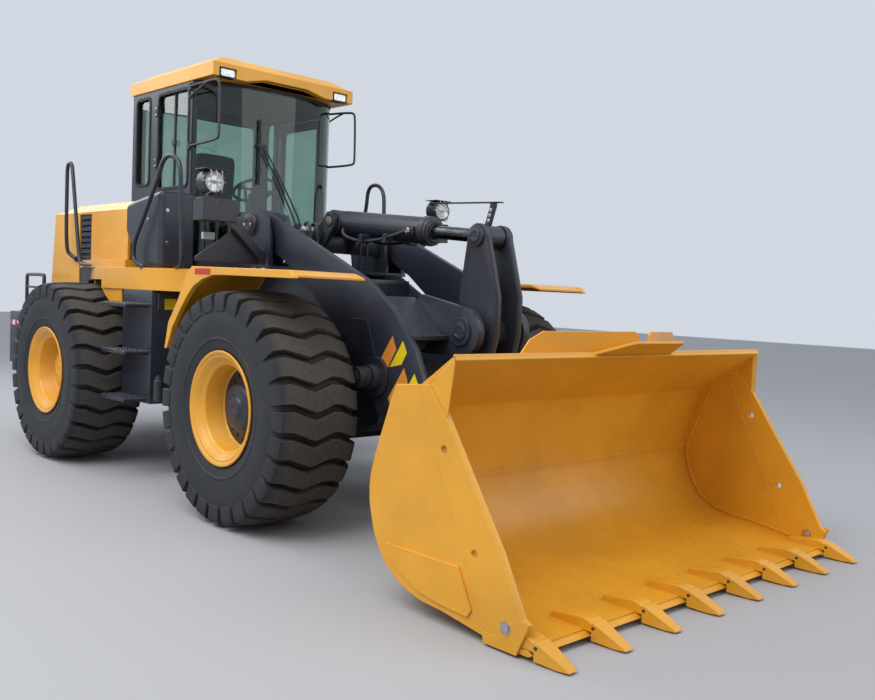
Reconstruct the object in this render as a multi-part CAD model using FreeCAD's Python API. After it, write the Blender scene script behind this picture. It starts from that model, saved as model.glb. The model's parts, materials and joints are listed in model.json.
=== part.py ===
import FreeCAD, Part
import math
import os

Vector = FreeCAD.Vector

# Articulated wheel loader, millimetres. +X is forward, +Y is the machine's left, +Z is up.
# The ground is Z = 0 and the middle of the overall length is X = 0.

# Driving dimensions
WHEELBASE = 3000.0
REAR_AXLE_X = -2050.0
TRACK_HALF = 1125.0
TYRE_R = 790.0
TYRE_WIDTH = 595.0
LUG_COUNT = 28
RIM_FLANGE_R = 372.0
HUB_PIN_R = 70.0
BUCKET_HALF = 1508.0
BUCKET_PLATE = 30.0
TOOTH_COUNT = 8
CAB_HALF = 700.0
PLATFORM_HALF = 1080.0
PLATFORM_TOP = 1720.0
HOOD_HALF = 850.0
TOWER_HALF = 680.0
BOOM_HALF = 600.0
BOOM_PLATE = 50.0
LIFT_CYL_Y = 735.0
STEER_CYL_Y = 330.0
FRAME_IN = 425.0
FRAME_OUT = 465.0
FENDER_IN = 850.0
FENDER_OUT = 1400.0
PIN_R = 45.0
RUN_GAP = 0.05
MOVE_GAP = 8.0
RAIL_R = 18.0
HITCH_TOP = 1080.0
HITCH_LOW = 560.0
STEER_Z = 820.0

FRONT_AXLE_X = REAR_AXLE_X + WHEELBASE
HITCH_X = REAR_AXLE_X + WHEELBASE / 2.0

# Pin centres in side view: X offset from the front axle, height
BOOM_PIVOT = (FRONT_AXLE_X - 830.0, 2076.0)
TILT_BASE = (FRONT_AXLE_X - 553.0, 2139.0)
TILT_EYE = (FRONT_AXLE_X + 1060.0, 2000.0)
ROCKER_PIN = (FRONT_AXLE_X + 1070.0, 1363.0)
LINK_PIN = (FRONT_AXLE_X + 1010.0, 700.0)
BUCKET_LINK_PIN = (FRONT_AXLE_X + 1590.0, 640.0)
BUCKET_PIN = (FRONT_AXLE_X + 1500.0, 330.0)
LIFT_BASE = (FRONT_AXLE_X - 700.0, 1250.0)
LIFT_EYE = (FRONT_AXLE_X + 640.0, 1040.0)

# Steering cylinder pins in plan: X offset from the hitch, distance from the middle plane
STEER_BASE = (HITCH_X - 640.0, STEER_CYL_Y)
STEER_EYE = (HITCH_X + 322.0, STEER_CYL_Y - 60.0)
FRONT_PLATE_X = STEER_EYE[0] + 98.0


def box(x0, x1, y0, y1, z0, z1):
    return Part.makeBox(x1 - x0, y1 - y0, z1 - z0, Vector(x0, y0, z0))


def prism(corners, direction):
    face = Part.Face(Part.makePolygon(corners + [corners[0]]))
    return face.extrude(direction)


def side_plate(points, y0, y1):
    """Outline in side view (x, z), thick from y0 to y1."""
    return prism([Vector(x, y0, z) for x, z in points], Vector(0, y1 - y0, 0))


def plan_plate(points, z0, z1):
    """Outline in plan (x, y), thick from z0 to z1."""
    return prism([Vector(x, y, z0) for x, y in points], Vector(0, 0, z1 - z0))


def cross_plate(points, x0, x1):
    """Outline across the machine (y, z), thick from x0 to x1."""
    return prism([Vector(x0, y, z) for y, z in points], Vector(x1 - x0, 0, 0))


def shaft_y(centre, y0, y1, radius):
    return Part.makeCylinder(radius, y1 - y0, Vector(centre[0], y0, centre[1]), Vector(0, 1, 0))


def shaft_z(centre, z0, z1, radius):
    return Part.makeCylinder(radius, z1 - z0, Vector(centre[0], centre[1], z0), Vector(0, 0, 1))


def shaft_between(a, b, radius):
    span = b.sub(a)
    return Part.makeCylinder(radius, span.Length, a, span)


def both_sides(shape):
    return [shape, shape.mirror(Vector(0, 0, 0), Vector(0, 1, 0))]


def mirrored(shape):
    return shape.mirror(Vector(0, 0, 0), Vector(0, 1, 0))


def weldment(shapes):
    """Plates kept as solids of their own, each trimmed to the ones before it so that faces touch."""
    done = []
    for shape in shapes:
        done.append(shape.cut(done) if done else shape)
    return Part.makeCompound(done)


def join(shapes):
    first = shapes[0]
    if len(shapes) > 1:
        first = first.multiFuse(shapes[1:])
    return first.removeSplitter()


def rear_x(points):
    return [(REAR_AXLE_X + x, z) for x, z in points]


def front_x(points):
    return [(FRONT_AXLE_X + x, z) for x, z in points]


def rod_path(points, radius):
    """Round bar bent at sharp corners through a list of points."""
    wire = Part.makePolygon([Vector(*p) for p in points])
    start, nxt = Vector(*points[0]), Vector(*points[1])
    ring = Part.Wire(Part.makeCircle(radius, start, nxt.sub(start)))
    return wire.makePipeShell([ring], True, False, 1)


def faceted_ring(profile, centre, facets):
    """Ring about a Y axis with flat facets; profile is a closed list of (radius, y)."""
    faces = []
    step = 2.0 * math.pi / facets

    def corner(radius, y, k):
        a = -math.pi / 2.0 + k * step
        return Vector(centre[0] + radius * math.cos(a), y, centre[1] + radius * math.sin(a))

    ends = profile[1:] + profile[:1]
    for k in range(facets):
        for (r0, y0), (r1, y1) in zip(profile, ends):
            ring = [corner(r0, y0, k), corner(r0, y0, k + 1), corner(r1, y1, k + 1), corner(r1, y1, k)]
            faces.append(Part.Face(Part.makePolygon(ring + [ring[0]])))
    solid = Part.makeSolid(Part.makeShell(faces))
    if solid.Volume < 0:
        solid.reverse()
    return solid


# Wheels, built at the right-hand side and mirrored
TYRE_OUT = TRACK_HALF + TYRE_WIDTH / 2.0
TYRE_IN = TRACK_HALF - TYRE_WIDTH / 2.0
RIM_OUT = TYRE_OUT - 27.0
RIM_IN = TYRE_IN + 27.0
BEAD_R = RIM_FLANGE_R - 14.0


def tyre(axle_x):
    half = TYRE_WIDTH / 2.0
    rows = [(BEAD_R, half - 45), (RIM_FLANGE_R + 4, half - 45), (BEAD_R + 92, half - 6), (TYRE_R - 200, half), (TYRE_R - 80, half - 12),
            (TYRE_R - 18, half - 45), (TYRE_R, half - 110)]
    profile = [(r, TRACK_HALF + h) for r, h in rows] + [(r, TRACK_HALF - h) for r, h in reversed(rows)]
    return faceted_ring(profile, (axle_x, TYRE_R), LUG_COUNT)


def rim(axle_x):
    centre = (axle_x, TYRE_R)
    skin = BEAD_R - 0.3
    barrel = faceted_ring([(RIM_FLANGE_R, RIM_OUT), (RIM_FLANGE_R, RIM_OUT - 14), (skin, RIM_OUT - 14),
                           (skin, RIM_IN + 14), (RIM_FLANGE_R, RIM_IN + 14), (RIM_FLANGE_R, RIM_IN),
                           (skin - 60, RIM_IN), (skin - 60, RIM_OUT - 60), (skin - 30, RIM_OUT)],
                          centre, LUG_COUNT)
    disc_y = TRACK_HALF + 60.0
    disc = shaft_y(centre, disc_y, disc_y + 24, skin - 40)
    disc = disc.cut(shaft_y(centre, disc_y - 1, disc_y + 25, HUB_PIN_R + RUN_GAP))
    hub = shaft_y(centre, disc_y + 24, disc_y + 124, 170)
    hub = hub.cut(shaft_y(centre, disc_y, disc_y + 90, HUB_PIN_R + RUN_GAP))
    return join([barrel, disc, hub])


# Rear body
def rear_frame():
    z_low, z_high = 620.0, 1500.0
    x0 = REAR_AXLE_X
    x_hitch = HITCH_X - 810.0
    rail = side_plate([(x0 - 1500, 700), (x0 - 1400, z_low), (x0 - 260, z_low), (x0 - 230, 925),
                       (x0 + 230, 925), (x0 + 260, z_low), (HITCH_X - 600, z_low), (HITCH_X - 350, 560),
                       (HITCH_X - 350, 1240), (HITCH_X - 600, 1400), (HITCH_X - 600, z_high),
                       (x0 - 1700, z_high), (x0 - 1700, 900)], FRAME_IN, FRAME_OUT)
    parts = both_sides(rail)
    parts += [
        box(x_hitch - 30, x_hitch + 10, -FRAME_IN, FRAME_IN, HITCH_LOW, 1240),
        box(x0 - 1500, x0 - 1460, -FRAME_IN, FRAME_IN, 700, 1000),
        box(x0 - 900, x0 - 860, -FRAME_IN, FRAME_IN, z_low, 1060),
        box(x0 + 300, HITCH_X - 600, -FRAME_IN, FRAME_IN, z_high - 30, z_high),
    ]
    # Hitch: an upper and a lower pair of ears with one upright pin each
    for z in (HITCH_TOP, HITCH_LOW):
        parts.append(shaft_z((HITCH_X, 0), z - 130, z + 130, PIN_R))
        for z0 in (z + 76, z - 116):
            ear = plan_plate([(x_hitch, -260), (HITCH_X, -115), (HITCH_X, 115), (x_hitch, 260)], z0, z0 + 40)
            parts.append(join([ear, shaft_z((HITCH_X, 0), z0, z0 + 40, 115)]))
    # Steering cylinder ears
    for side in (-1, 1):
        parts.append(shaft_z((STEER_BASE[0], side * STEER_BASE[1]), STEER_Z - 92, STEER_Z + 92, 30))
        for z0 in (STEER_Z - 92, STEER_Z + 68):
            y_in, y_out = sorted((side * (STEER_CYL_Y - 100), side * FRAME_IN))
            parts.append(box(STEER_BASE[0] - 60, STEER_BASE[0] + 60, y_in, y_out, z0, z0 + 24))
    # Platform and ladder brackets
    x_out = x0 + 540
    skirt_low = PLATFORM_TOP - 180
    parts += both_sides(box(x_out, x_out + 60, FRAME_OUT, PLATFORM_HALF - 60, 1430, 1490))
    parts += both_sides(box(x_out, x_out + 60, CAB_HALF + 60, PLATFORM_HALF - 60, 1490, skirt_low))
    parts += both_sides(box(HITCH_X - 600, HITCH_X - 520, FRAME_OUT, CAB_HALF + 6, 760, 1200))
    return weldment(parts)


def rear_axle():
    centre = (REAR_AXLE_X, TYRE_R)
    reach = TRACK_HALF + 150.0
    return join([shaft_y(centre, -TYRE_IN + 20, TYRE_IN - 20, 130),
                 shaft_y(centre, -240, 240, 235),
                 shaft_y(centre, -reach + 10, reach - 10, HUB_PIN_R)]
                + both_sides(box(REAR_AXLE_X - 110, REAR_AXLE_X + 110, FRAME_IN - 30, FRAME_OUT + 30, 850, 925)))


def counterweight():
    x0 = REAR_AXLE_X
    plan = [(x0 - 1050, -1080), (x0 - 1050, 1080), (x0 - 1800, 1080), (x0 - 1930, 860),
            (x0 - 1930, -860), (x0 - 1800, -1080)]
    block = plan_plate(plan, 620, 1250)
    slope = side_plate([(x0 - 1951, 600), (x0 - 1049, 600), (x0 - 1049, 830), (x0 - 1400, 720),
                        (x0 - 1951, 720)], -1100, 1100)
    block = block.cut(slope)
    block = block.cut(box(x0 - 1700, x0 - 1000, -FRAME_OUT - 5, FRAME_OUT + 5, 500, 1300))
    # Tow hitch slot with one upright pin hole
    block = block.cut(box(x0 - 1940, x0 - 1780, -90, 90, 820, 940))
    block = block.cut(shaft_z((x0 - 1850, 0), 700, 1260, 26))
    return block


def engine_block():
    return box(REAR_AXLE_X - 1250, REAR_AXLE_X - 100, -330, 330, 1080, 1950)


def hood():
    x0 = REAR_AXLE_X
    outer = cross_plate([(-HOOD_HALF, 1500), (HOOD_HALF, 1500), (HOOD_HALF, 2190), (HOOD_HALF - 70, 2270),
                         (-HOOD_HALF + 70, 2270), (-HOOD_HALF, 2190)], x0 - 1500, x0 - 560)
    inner = cross_plate([(-HOOD_HALF + 25, 1499), (HOOD_HALF - 25, 1499), (HOOD_HALF - 25, 2180),
                         (HOOD_HALF - 80, 2245), (-HOOD_HALF + 80, 2245), (-HOOD_HALF + 25, 2180)],
                        x0 - 1501, x0 - 559)
    return outer.cut(inner)


def rear_grille():
    x0 = REAR_AXLE_X
    plan = [(x0 - 1500, -HOOD_HALF), (x0 - 1500, HOOD_HALF), (x0 - 1620, HOOD_HALF),
            (x0 - 1780, 640), (x0 - 1780, -640), (x0 - 1620, -HOOD_HALF)]
    shell = plan_plate(plan, 1250, 2240)
    hole = plan_plate([(x0 - 1499, -HOOD_HALF + 30), (x0 - 1499, HOOD_HALF - 30),
                       (x0 - 1610, HOOD_HALF - 30), (x0 - 1750, 620), (x0 - 1750, -620),
                       (x0 - 1610, -HOOD_HALF + 30)], 1249, 2210)
    shell = shell.cut(hole)
    for k in range(9):
        z = 1400 + 85 * k
        shell = shell.cut(box(x0 - 1790, x0 - 1740, -540, 540, z, z + 40))
    return shell


def vent_column():
    x0 = REAR_AXLE_X
    body = box(x0 - 560, x0 - 130, -HOOD_HALF, HOOD_HALF, 1490, 2230)
    body = body.cut(box(x0 - 561, x0 - 129, -HOOD_HALF + 30, HOOD_HALF - 30, 1400, 2200))
    for tyre_room in both_sides(box(x0 - 420, x0 - 129, TYRE_IN - 10, TYRE_OUT, 1480, 1600)):
        body = body.cut(tyre_room)
    foot = box(x0 - 500, x0 - 440, FRAME_OUT, HOOD_HALF - 20, 1440, 1490)
    return join([body] + both_sides(foot))


def platform():
    """Walkway with a deep skirt, at the left; mirrored for the right."""
    x0 = REAR_AXLE_X
    deck = plan_plate([(x0 + 80, CAB_HALF + 30), (x0 + 80, 812), (x0 + 290, 812), (x0 + 390, PLATFORM_HALF),
                       (x0 + 1550, PLATFORM_HALF), (x0 + 1830, 950), (x0 + 1790, 915),
                       (x0 + 1440, CAB_HALF + 30)], PLATFORM_TOP - 180, PLATFORM_TOP)
    deck = deck.cut(plan_plate([(x0 + 100, CAB_HALF + 20), (x0 + 100, 792), (x0 + 302, 792), (x0 + 402, PLATFORM_HALF - 20),
                                (x0 + 1540, PLATFORM_HALF - 20), (x0 + 1760, 960), (x0 + 1480, 760),
                                (x0 + 1430, CAB_HALF + 20)], PLATFORM_TOP - 181, PLATFORM_TOP - 25))
    return deck


def ladder():
    x0 = REAR_AXLE_X
    y_face = PLATFORM_HALF
    box_body = box(x0 + 860, x0 + 1380, CAB_HALF + 6, y_face, 620, PLATFORM_TOP - 180)
    parts = [box_body]
    for z in (640, 1020, 1400):
        parts.append(box(x0 + 900, x0 + 1340, y_face, y_face + 200, z, z + 30))
    return join(parts)


def cab_floor():
    x0 = REAR_AXLE_X
    plan = [(x0 + 160, -CAB_HALF), (x0 + 1220, -CAB_HALF), (x0 + 1420, -430), (x0 + 1420, 430),
            (x0 + 1220, CAB_HALF), (x0 + 160, CAB_HALF)]
    parts = [plan_plate(plan, 1506, 1756)]
    for y in (-FRAME_IN, FRAME_IN):
        for x in (x0 + 250, x0 + 760):
            parts.append(box(x, x + 120, y - 60, y + 60, 1500, 1506))
    return join(parts)


def cab_frame():
    """Cab posts and side sills around open window frames."""
    x0 = REAR_AXLE_X
    z0, z1 = 1756.0, 3290.0
    half = CAB_HALF
    plan = [(x0 + 160, -half), (x0 + 1250, -half), (x0 + 1250, half), (x0 + 160, half)]
    shell = plan_plate(plan, z0, z1)
    shell = shell.cut(plan_plate([(x0 + 210, -half + 50), (x0 + 1251, -half + 50), (x0 + 1251, half - 50),
                                  (x0 + 210, half - 50)], z0 - 1, z1 + 1))
    # Right side: sash window between the posts, solid sill below
    shell = shell.cut(box(x0 + 700, x0 + 1190, -half - 1, -half + 51, z0 + 160, z1 - 90))
    shell = shell.cut(box(x0 + 240, x0 + 630, -half - 1, -half + 51, z0 + 560, z1 - 90))
    # Left side: rear quarter window and the doorway
    shell = shell.cut(box(x0 + 240, x0 + 410, half - 51, half + 1, z0 + 560, z1 - 90))
    shell = shell.cut(box(x0 + 480, x0 + 1190, half - 51, half + 1, z0 - 1, z1 - 90))
    shell = shell.cut(box(x0 + 159, x0 + 211, -half + 110, half - 110, z0 + 500, z1 - 90))
    return shell


def cab_roof():
    x0 = REAR_AXLE_X
    half = CAB_HALF
    base = box(x0 + 110, x0 + 1590, -half - 10, half + 10, 3290, 3360)
    bevel = [Vector(x0 + 110, -half - 10, 3360), Vector(x0 + 1590, -half - 10, 3360),
             Vector(x0 + 1590, half + 10, 3360), Vector(x0 + 110, half + 10, 3360)]
    crown = [Vector(x0 + 260, -half + 120, 3480), Vector(x0 + 1460, -half + 120, 3480),
             Vector(x0 + 1460, half - 120, 3480), Vector(x0 + 260, half - 120, 3480)]
    top = Part.makeLoft([Part.makePolygon(bevel + [bevel[0]]), Part.makePolygon(crown + [crown[0]])],
                        True, True)
    return join([base, top])


def windshield():
    x0 = REAR_AXLE_X
    half = CAB_HALF
    outer = [(x0 + 1250, half), (x0 + 1400, 560), (x0 + 1480, 300), (x0 + 1500, 0),
             (x0 + 1480, -300), (x0 + 1400, -560), (x0 + 1250, -half)]
    inner = [(x, y * 0.975) for x, y in ((x0 + 1250, -half), (x0 + 1392, -556), (x0 + 1470, -300),
                                         (x0 + 1489, 0), (x0 + 1470, 300), (x0 + 1392, 556),
                                         (x0 + 1250, half))]
    return plan_plate(outer + inner, 1756, 3290)


def pane(x_a, x_b, y_side, z_a, z_b):
    y_mid = y_side * (CAB_HALF - 25)
    return box(x_a + 1, x_b - 1, y_mid - 5, y_mid + 5, z_a + 1, z_b - 1)


def cab_glass():
    x0 = REAR_AXLE_X
    z0, z1 = 1756.0, 3290.0
    half = CAB_HALF
    right_front = pane(x0 + 699, x0 + 1191, -1, z0 + 159, z1 - 89)
    right_rear = pane(x0 + 239, x0 + 631, -1, z0 + 559, z1 - 89)
    left_rear = pane(x0 + 239, x0 + 411, 1, z0 + 559, z1 - 89)
    rear = box(x0 + 180, x0 + 190, -half + 110, half - 110, z0 + 500, z1 - 90)
    return {"cab_glass_right_front": right_front, "cab_glass_right_rear": right_rear,
            "cab_glass_left_rear": left_rear, "cab_glass_back": rear}


DOOR_HINGE = (REAR_AXLE_X + 490.0, CAB_HALF + 22.0)


def door_frame():
    x0 = REAR_AXLE_X
    z0, z1 = 1756.0, 3200.0
    y0, y1 = CAB_HALF - 44, CAB_HALF - 4
    slab = box(x0 + 490, x0 + 1180, y0, y1, z0 + 10, z1 - 10)
    slab = slab.cut(box(x0 + 560, x0 + 1120, y0 - 1, y1 + 1, z0 + 90, z1 - 70))
    parts = [slab]
    for z in (2100, 2900):
        parts.append(box(x0 + 486, x0 + 530, y1 - 2, CAB_HALF + 22, z - 34, z + 34))
        sleeve = shaft_z(DOOR_HINGE, z - 34, z + 34, 17)
        parts.append(sleeve)
    body = join(parts)
    for z in (2100, 2900):
        body = body.cut(shaft_z(DOOR_HINGE, z - 35, z + 35, 9 + RUN_GAP))
    return body


def door_hinge_pins():
    """Pins and leaves on the cab side of the door hinges."""
    parts = []
    for z in (2100, 2900):
        parts.append(shaft_z(DOOR_HINGE, z - 56, z + 56, 9))
        for z0 in (z - 56, z + 40):
            parts.append(shaft_z(DOOR_HINGE, z0, z0 + 16, 17))
            parts.append(box(DOOR_HINGE[0] - 60, DOOR_HINGE[0], CAB_HALF - 1, CAB_HALF + 32, z0, z0 + 16))
    return parts


def door_glass():
    x0 = REAR_AXLE_X
    y_mid = CAB_HALF - 24
    return box(x0 + 560, x0 + 1120, y_mid - 5, y_mid + 5, 1846, 3130)


def seat():
    x0 = REAR_AXLE_X
    return join([box(x0 + 420, x0 + 780, -150, 150, 1756, 2060),
                 box(x0 + 340, x0 + 860, -260, 260, 2060, 2200),
                 side_plate([(x0 + 330, 2200), (x0 + 450, 2200), (x0 + 380, 2860), (x0 + 290, 2860)],
                            -240, 240),
                 box(x0 + 420, x0 + 860, -400, -255, 2150, 2330)])


def steering_column():
    x0 = REAR_AXLE_X
    column = side_plate([(x0 + 1180, 1756), (x0 + 1300, 1756), (x0 + 1190, 2440), (x0 + 1120, 2420)], -60, 60)
    tilt = Vector(-0.45, 0, 0.9)
    wheel = Part.makeTorus(190, 14, Vector(x0 + 1125, 0, 2470), tilt)
    spokes = shaft_between(Vector(x0 + 1155, 0, 2400), Vector(x0 + 1122, 0, 2476), 34)
    bar = box(x0 + 1105, x0 + 1135, -190, 190, 2462, 2478)
    return join([column, wheel, spokes, bar])


def tank_cover():
    x0 = REAR_AXLE_X
    body = box(x0 + 730, x0 + 1370, -PLATFORM_HALF + 60, -CAB_HALF - 6, PLATFORM_TOP, 2280)
    edges = [e for e in body.Edges if abs(e.Length - (2280 - PLATFORM_TOP)) < 1 and e.CenterOfMass.y < -PLATFORM_HALF + 80]
    return body.makeFillet(60, edges)


def exhaust():
    x0 = REAR_AXLE_X
    return join([shaft_z((x0 - 260, 250), 2230, 2760, 62), shaft_z((x0 - 260, 250), 2700, 2860, 48)])


def hand_rail():
    """Front rail of one walkway, at the left."""
    x0 = REAR_AXLE_X
    y = PLATFORM_HALF + RAIL_R
    rail = join([rod_path([(x0 + 1250, y + 4, 1600), (x0 + 1230, y + 4, 1900), (x0 + 1300, y - 20, 2560),
                           (x0 + 1350, y - 40, 2620), (x0 + 1420, y - 35, 2590),
                           (x0 + 1640, y - 10, 1900), (x0 + 1640, y - 10, 1600)], RAIL_R),
                 box(x0 + 1230, x0 + 1270, y - 40, y, 1600, 1660),
                 box(x0 + 1620, x0 + 1660, y - 70, y, 1600, 1660)])
    return rail.cut(platform())


def rear_hand_rail():
    x0 = REAR_AXLE_X
    y = HOOD_HALF + RAIL_R
    rail = join([rod_path([(x0 - 300, y + 6, 1640), (x0 - 300, y + 40, 2560), (x0 - 230, y + 40, 2640),
                           (x0 - 120, y + 60, 2560), (x0 + 430, PLATFORM_HALF - 60, 1800),
                           (x0 + 430, PLATFORM_HALF - 60, PLATFORM_TOP)], RAIL_R),
                 box(x0 - 330, x0 - 270, y - RAIL_R, y + 6, 1620, 1700)])
    return rail


def rear_guard_rail():
    x0 = REAR_AXLE_X
    y = HOOD_HALF + 150.0
    return rod_path([(x0 - 1100, y, 1250), (x0 - 1100, y, 1640), (x0 - 1840, y - 100, 1640),
                     (x0 - 1840, y - 100, 1250)], RAIL_R)


# Front body
def front_frame():
    x0 = FRONT_AXLE_X
    y_in, y_out = 460.0, 500.0
    side = side_plate([(FRONT_PLATE_X + 100, 460)] + front_x([(-290, 460), (-230, 925), (230, 925), (290, 660),
                      (560, 700), (600, 1100), (200, 1420), (-420, 1745)])
                      + [(FRONT_PLATE_X + 100, 1745), (FRONT_PLATE_X, 1200), (FRONT_PLATE_X, 500)], y_in, y_out)
    tower = front_x([(-1073, 2100), (-1040, 2133), (-760, 2190), (-647, 2157), (-585, 2006), (-570, 1740),
                     (-1000, 1740)])
    pin_seats = both_sides(join([shaft_y(BOOM_PIVOT, y_in - 5, TOWER_HALF, PIN_R + 5),
                                 shaft_y(BOOM_PIVOT, TOWER_HALF, TOWER_HALF + 25, 85)]))
    parts = pin_seats + both_sides(side)
    parts += [box(FRONT_PLATE_X, FRONT_PLATE_X + 40, -y_in, y_in, 500, 1240),
              box(x0 - 300, x0 - 260, -y_in, y_in, 460, 1700),
              box(x0 + 520, x0 + 560, -y_in, y_in, 700, 1100),
              plan_plate([(x0 - 1000, -TOWER_HALF), (x0 - 560, -TOWER_HALF), (x0 - 560, TOWER_HALF),
                          (x0 - 1000, TOWER_HALF)], 1740, 1765)]
    for y0, y1 in ((TOWER_HALF - 40, TOWER_HALF), (y_in, y_out)):
        parts += both_sides(side_plate(tower, y0, y1))
    # Tilt cylinder base: two ears on a cross beam
    parts.append(box(x0 - 720, x0 - 640, -y_in, y_in, 1900, 2060))
    tilt_hole = shaft_y(TILT_BASE, -151, 151, 40 + RUN_GAP)
    for y0 in (-150, 118):
        ear = side_plate([(x0 - 640, 1900), (TILT_BASE[0] + 70, TILT_BASE[1] - 40),
                          (TILT_BASE[0] + 70, TILT_BASE[1] + 40), (TILT_BASE[0] - 20, TILT_BASE[1] + 80),
                          (x0 - 720, 2060), (x0 - 640, 2060)], y0, y0 + 32)
        parts.append(ear.cut(tilt_hole))
    # Lift cylinder base brackets, one at the inner side of each barrel eye
    for side_sign in (-1, 1):
        y_near, y_far = sorted((side_sign * y_out, side_sign * (LIFT_CYL_Y - 68 - MOVE_GAP)))
        pin = sorted((side_sign * (LIFT_CYL_Y - 80), side_sign * (LIFT_CYL_Y + 60)))
        parts.append(shaft_y(LIFT_BASE, pin[0], pin[1], PIN_R))
        parts.append(box(LIFT_BASE[0] - 110, LIFT_BASE[0] + 60, y_near, y_far,
                         LIFT_BASE[1] - 80, LIFT_BASE[1] + 80))
    # Hitch knuckles
    for z in (HITCH_TOP, HITCH_LOW):
        lug = plan_plate([(FRONT_PLATE_X, -260), (HITCH_X, -100), (HITCH_X, 100), (FRONT_PLATE_X, 260)],
                         z - 70, z + 70)
        lug = join([lug, shaft_z((HITCH_X, 0), z - 70, z + 70, 100)])
        parts.append(lug.cut(shaft_z((HITCH_X, 0), z - 71, z + 71, PIN_R + RUN_GAP)))
    # Steering ears
    for side_sign in (-1, 1):
        y_a, y_b = sorted((side_sign * 180.0, side_sign * (STEER_EYE[1] + 60)))
        for z0 in (STEER_Z - 86, STEER_Z + 62):
            parts.append(box(STEER_EYE[0] - 60, FRONT_PLATE_X, y_a, y_b, z0, z0 + 24))
    return weldment(parts)


def front_axle():
    centre = (FRONT_AXLE_X, TYRE_R)
    reach = TRACK_HALF + 150.0
    return join([shaft_y(centre, -TYRE_IN + 20, TYRE_IN - 20, 130),
                 shaft_y(centre, -240, 240, 235),
                 shaft_y(centre, -reach + 10, reach - 10, HUB_PIN_R)]
                + both_sides(box(FRONT_AXLE_X - 110, FRONT_AXLE_X + 110, 430, 530, 850, 925)))


def fender():
    """Left front fender as one bent sheet with a gusset to the frame shelf."""
    outer = front_x([(-755, 1146), (-690, 1330), (-600, 1500), (-430, 1640), (-340, 1710), (700, 1710),
                     (810, 1680)])
    inner = front_x([(810, 1664), (700, 1690), (-330, 1690), (-416, 1626), (-582, 1490), (-670, 1324),
                     (-735, 1142)])
    sheet = side_plate(outer + inner, FENDER_IN, FENDER_OUT)
    bracket = box(FRONT_AXLE_X - 800, FRONT_AXLE_X - 715, 500, FENDER_IN - 10, 1400, 1440)
    gusset = side_plate(front_x([(-800, 1400), (-715, 1400), (-590, 1440), (-420, 1600), (-330, 1695),
                                 (-345, 1700), (-432, 1636), (-600, 1500), (-690, 1460), (-800, 1440)]),
                        FENDER_IN - 12, FENDER_IN)
    return join([sheet, bracket, gusset])


def headlamp():
    x, z = FRONT_AXLE_X - 670.0, 2330.0
    y = 1126.0
    post = box(x - 90, x + 60, y - 110, y + 110, 2090, 2240)
    bar = cross_plate([(TOWER_HALF, 1900), (TOWER_HALF, 1990), (y - 100, 2200), (y - 100, 2110)], x - 10, x + 40)
    drum = Part.makeCylinder(85, 110, Vector(x - 60, y, z), Vector(1, 0, 0))
    neck = box(x - 30, x + 20, y - 20, y + 20, 2240, 2260)
    visor = box(x - 60, x + 90, y - 90, y + 90, z + 84, z + 90)
    return join([post, bar, drum, neck, visor])


# Boom
def boom():
    half, plate = BOOM_HALF, BOOM_PLATE
    x0 = FRONT_AXLE_X
    tip_r = 125.0
    top = [(-690, 2158), (111, 1838), (521, 1671), (779, 1487), (1009, 1242), (1113, 1034)]
    low = [(777, 699), (590, 877), (138, 1391), (-373, 1751), (-800, 1960)]
    arm = side_plate(front_x(top) + [(BUCKET_PIN[0] + 90, BUCKET_PIN[1] + 90),
                                     (BUCKET_PIN[0] - 60, BUCKET_PIN[1] - 110)] + front_x(low)
                     + front_x([(-900, 2000), (-900, 2140)]), half - plate, half)
    arm = join([arm, shaft_y(BUCKET_PIN, half - 65, half + 15, tip_r),
                shaft_y(BOOM_PIVOT, 508, TOWER_HALF - 40 - MOVE_GAP, 120)])
    plates = both_sides(arm)
    tube = shaft_y((x0 + 640, 1330), -half + plate, half - plate, 130)
    ears = []
    for side_sign in (-1, 1):
        y0, y1 = sorted((side_sign * 190.0, side_sign * 250.0))
        ear = side_plate([(x0 + 560, 1260), (x0 + 640, 1200), (ROCKER_PIN[0] + 30, ROCKER_PIN[1] - 160),
                          (ROCKER_PIN[0] + 120, ROCKER_PIN[1]), (ROCKER_PIN[0], ROCKER_PIN[1] + 160),
                          (x0 + 656, 1599), (x0 + 560, 1440)], y0, y1)
        ears.append(join([ear, shaft_y(ROCKER_PIN, y0, y1, 160)]))
    eyes = both_sides(shaft_y(LIFT_EYE, half, LIFT_CYL_Y - 56, 80))
    pin = shaft_y(ROCKER_PIN, -262, 262, PIN_R)
    body = join(plates + [tube] + ears + eyes + [pin])
    for side_sign in (-1, 1):
        y0, y1 = sorted((side_sign * 400.0, side_sign * 700.0))
        body = body.cut(shaft_y(BOOM_PIVOT, y0, y1, PIN_R + 5 + RUN_GAP))
        body = body.cut(shaft_y(BUCKET_PIN, y0, y1, PIN_R + RUN_GAP))
    return body


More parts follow.
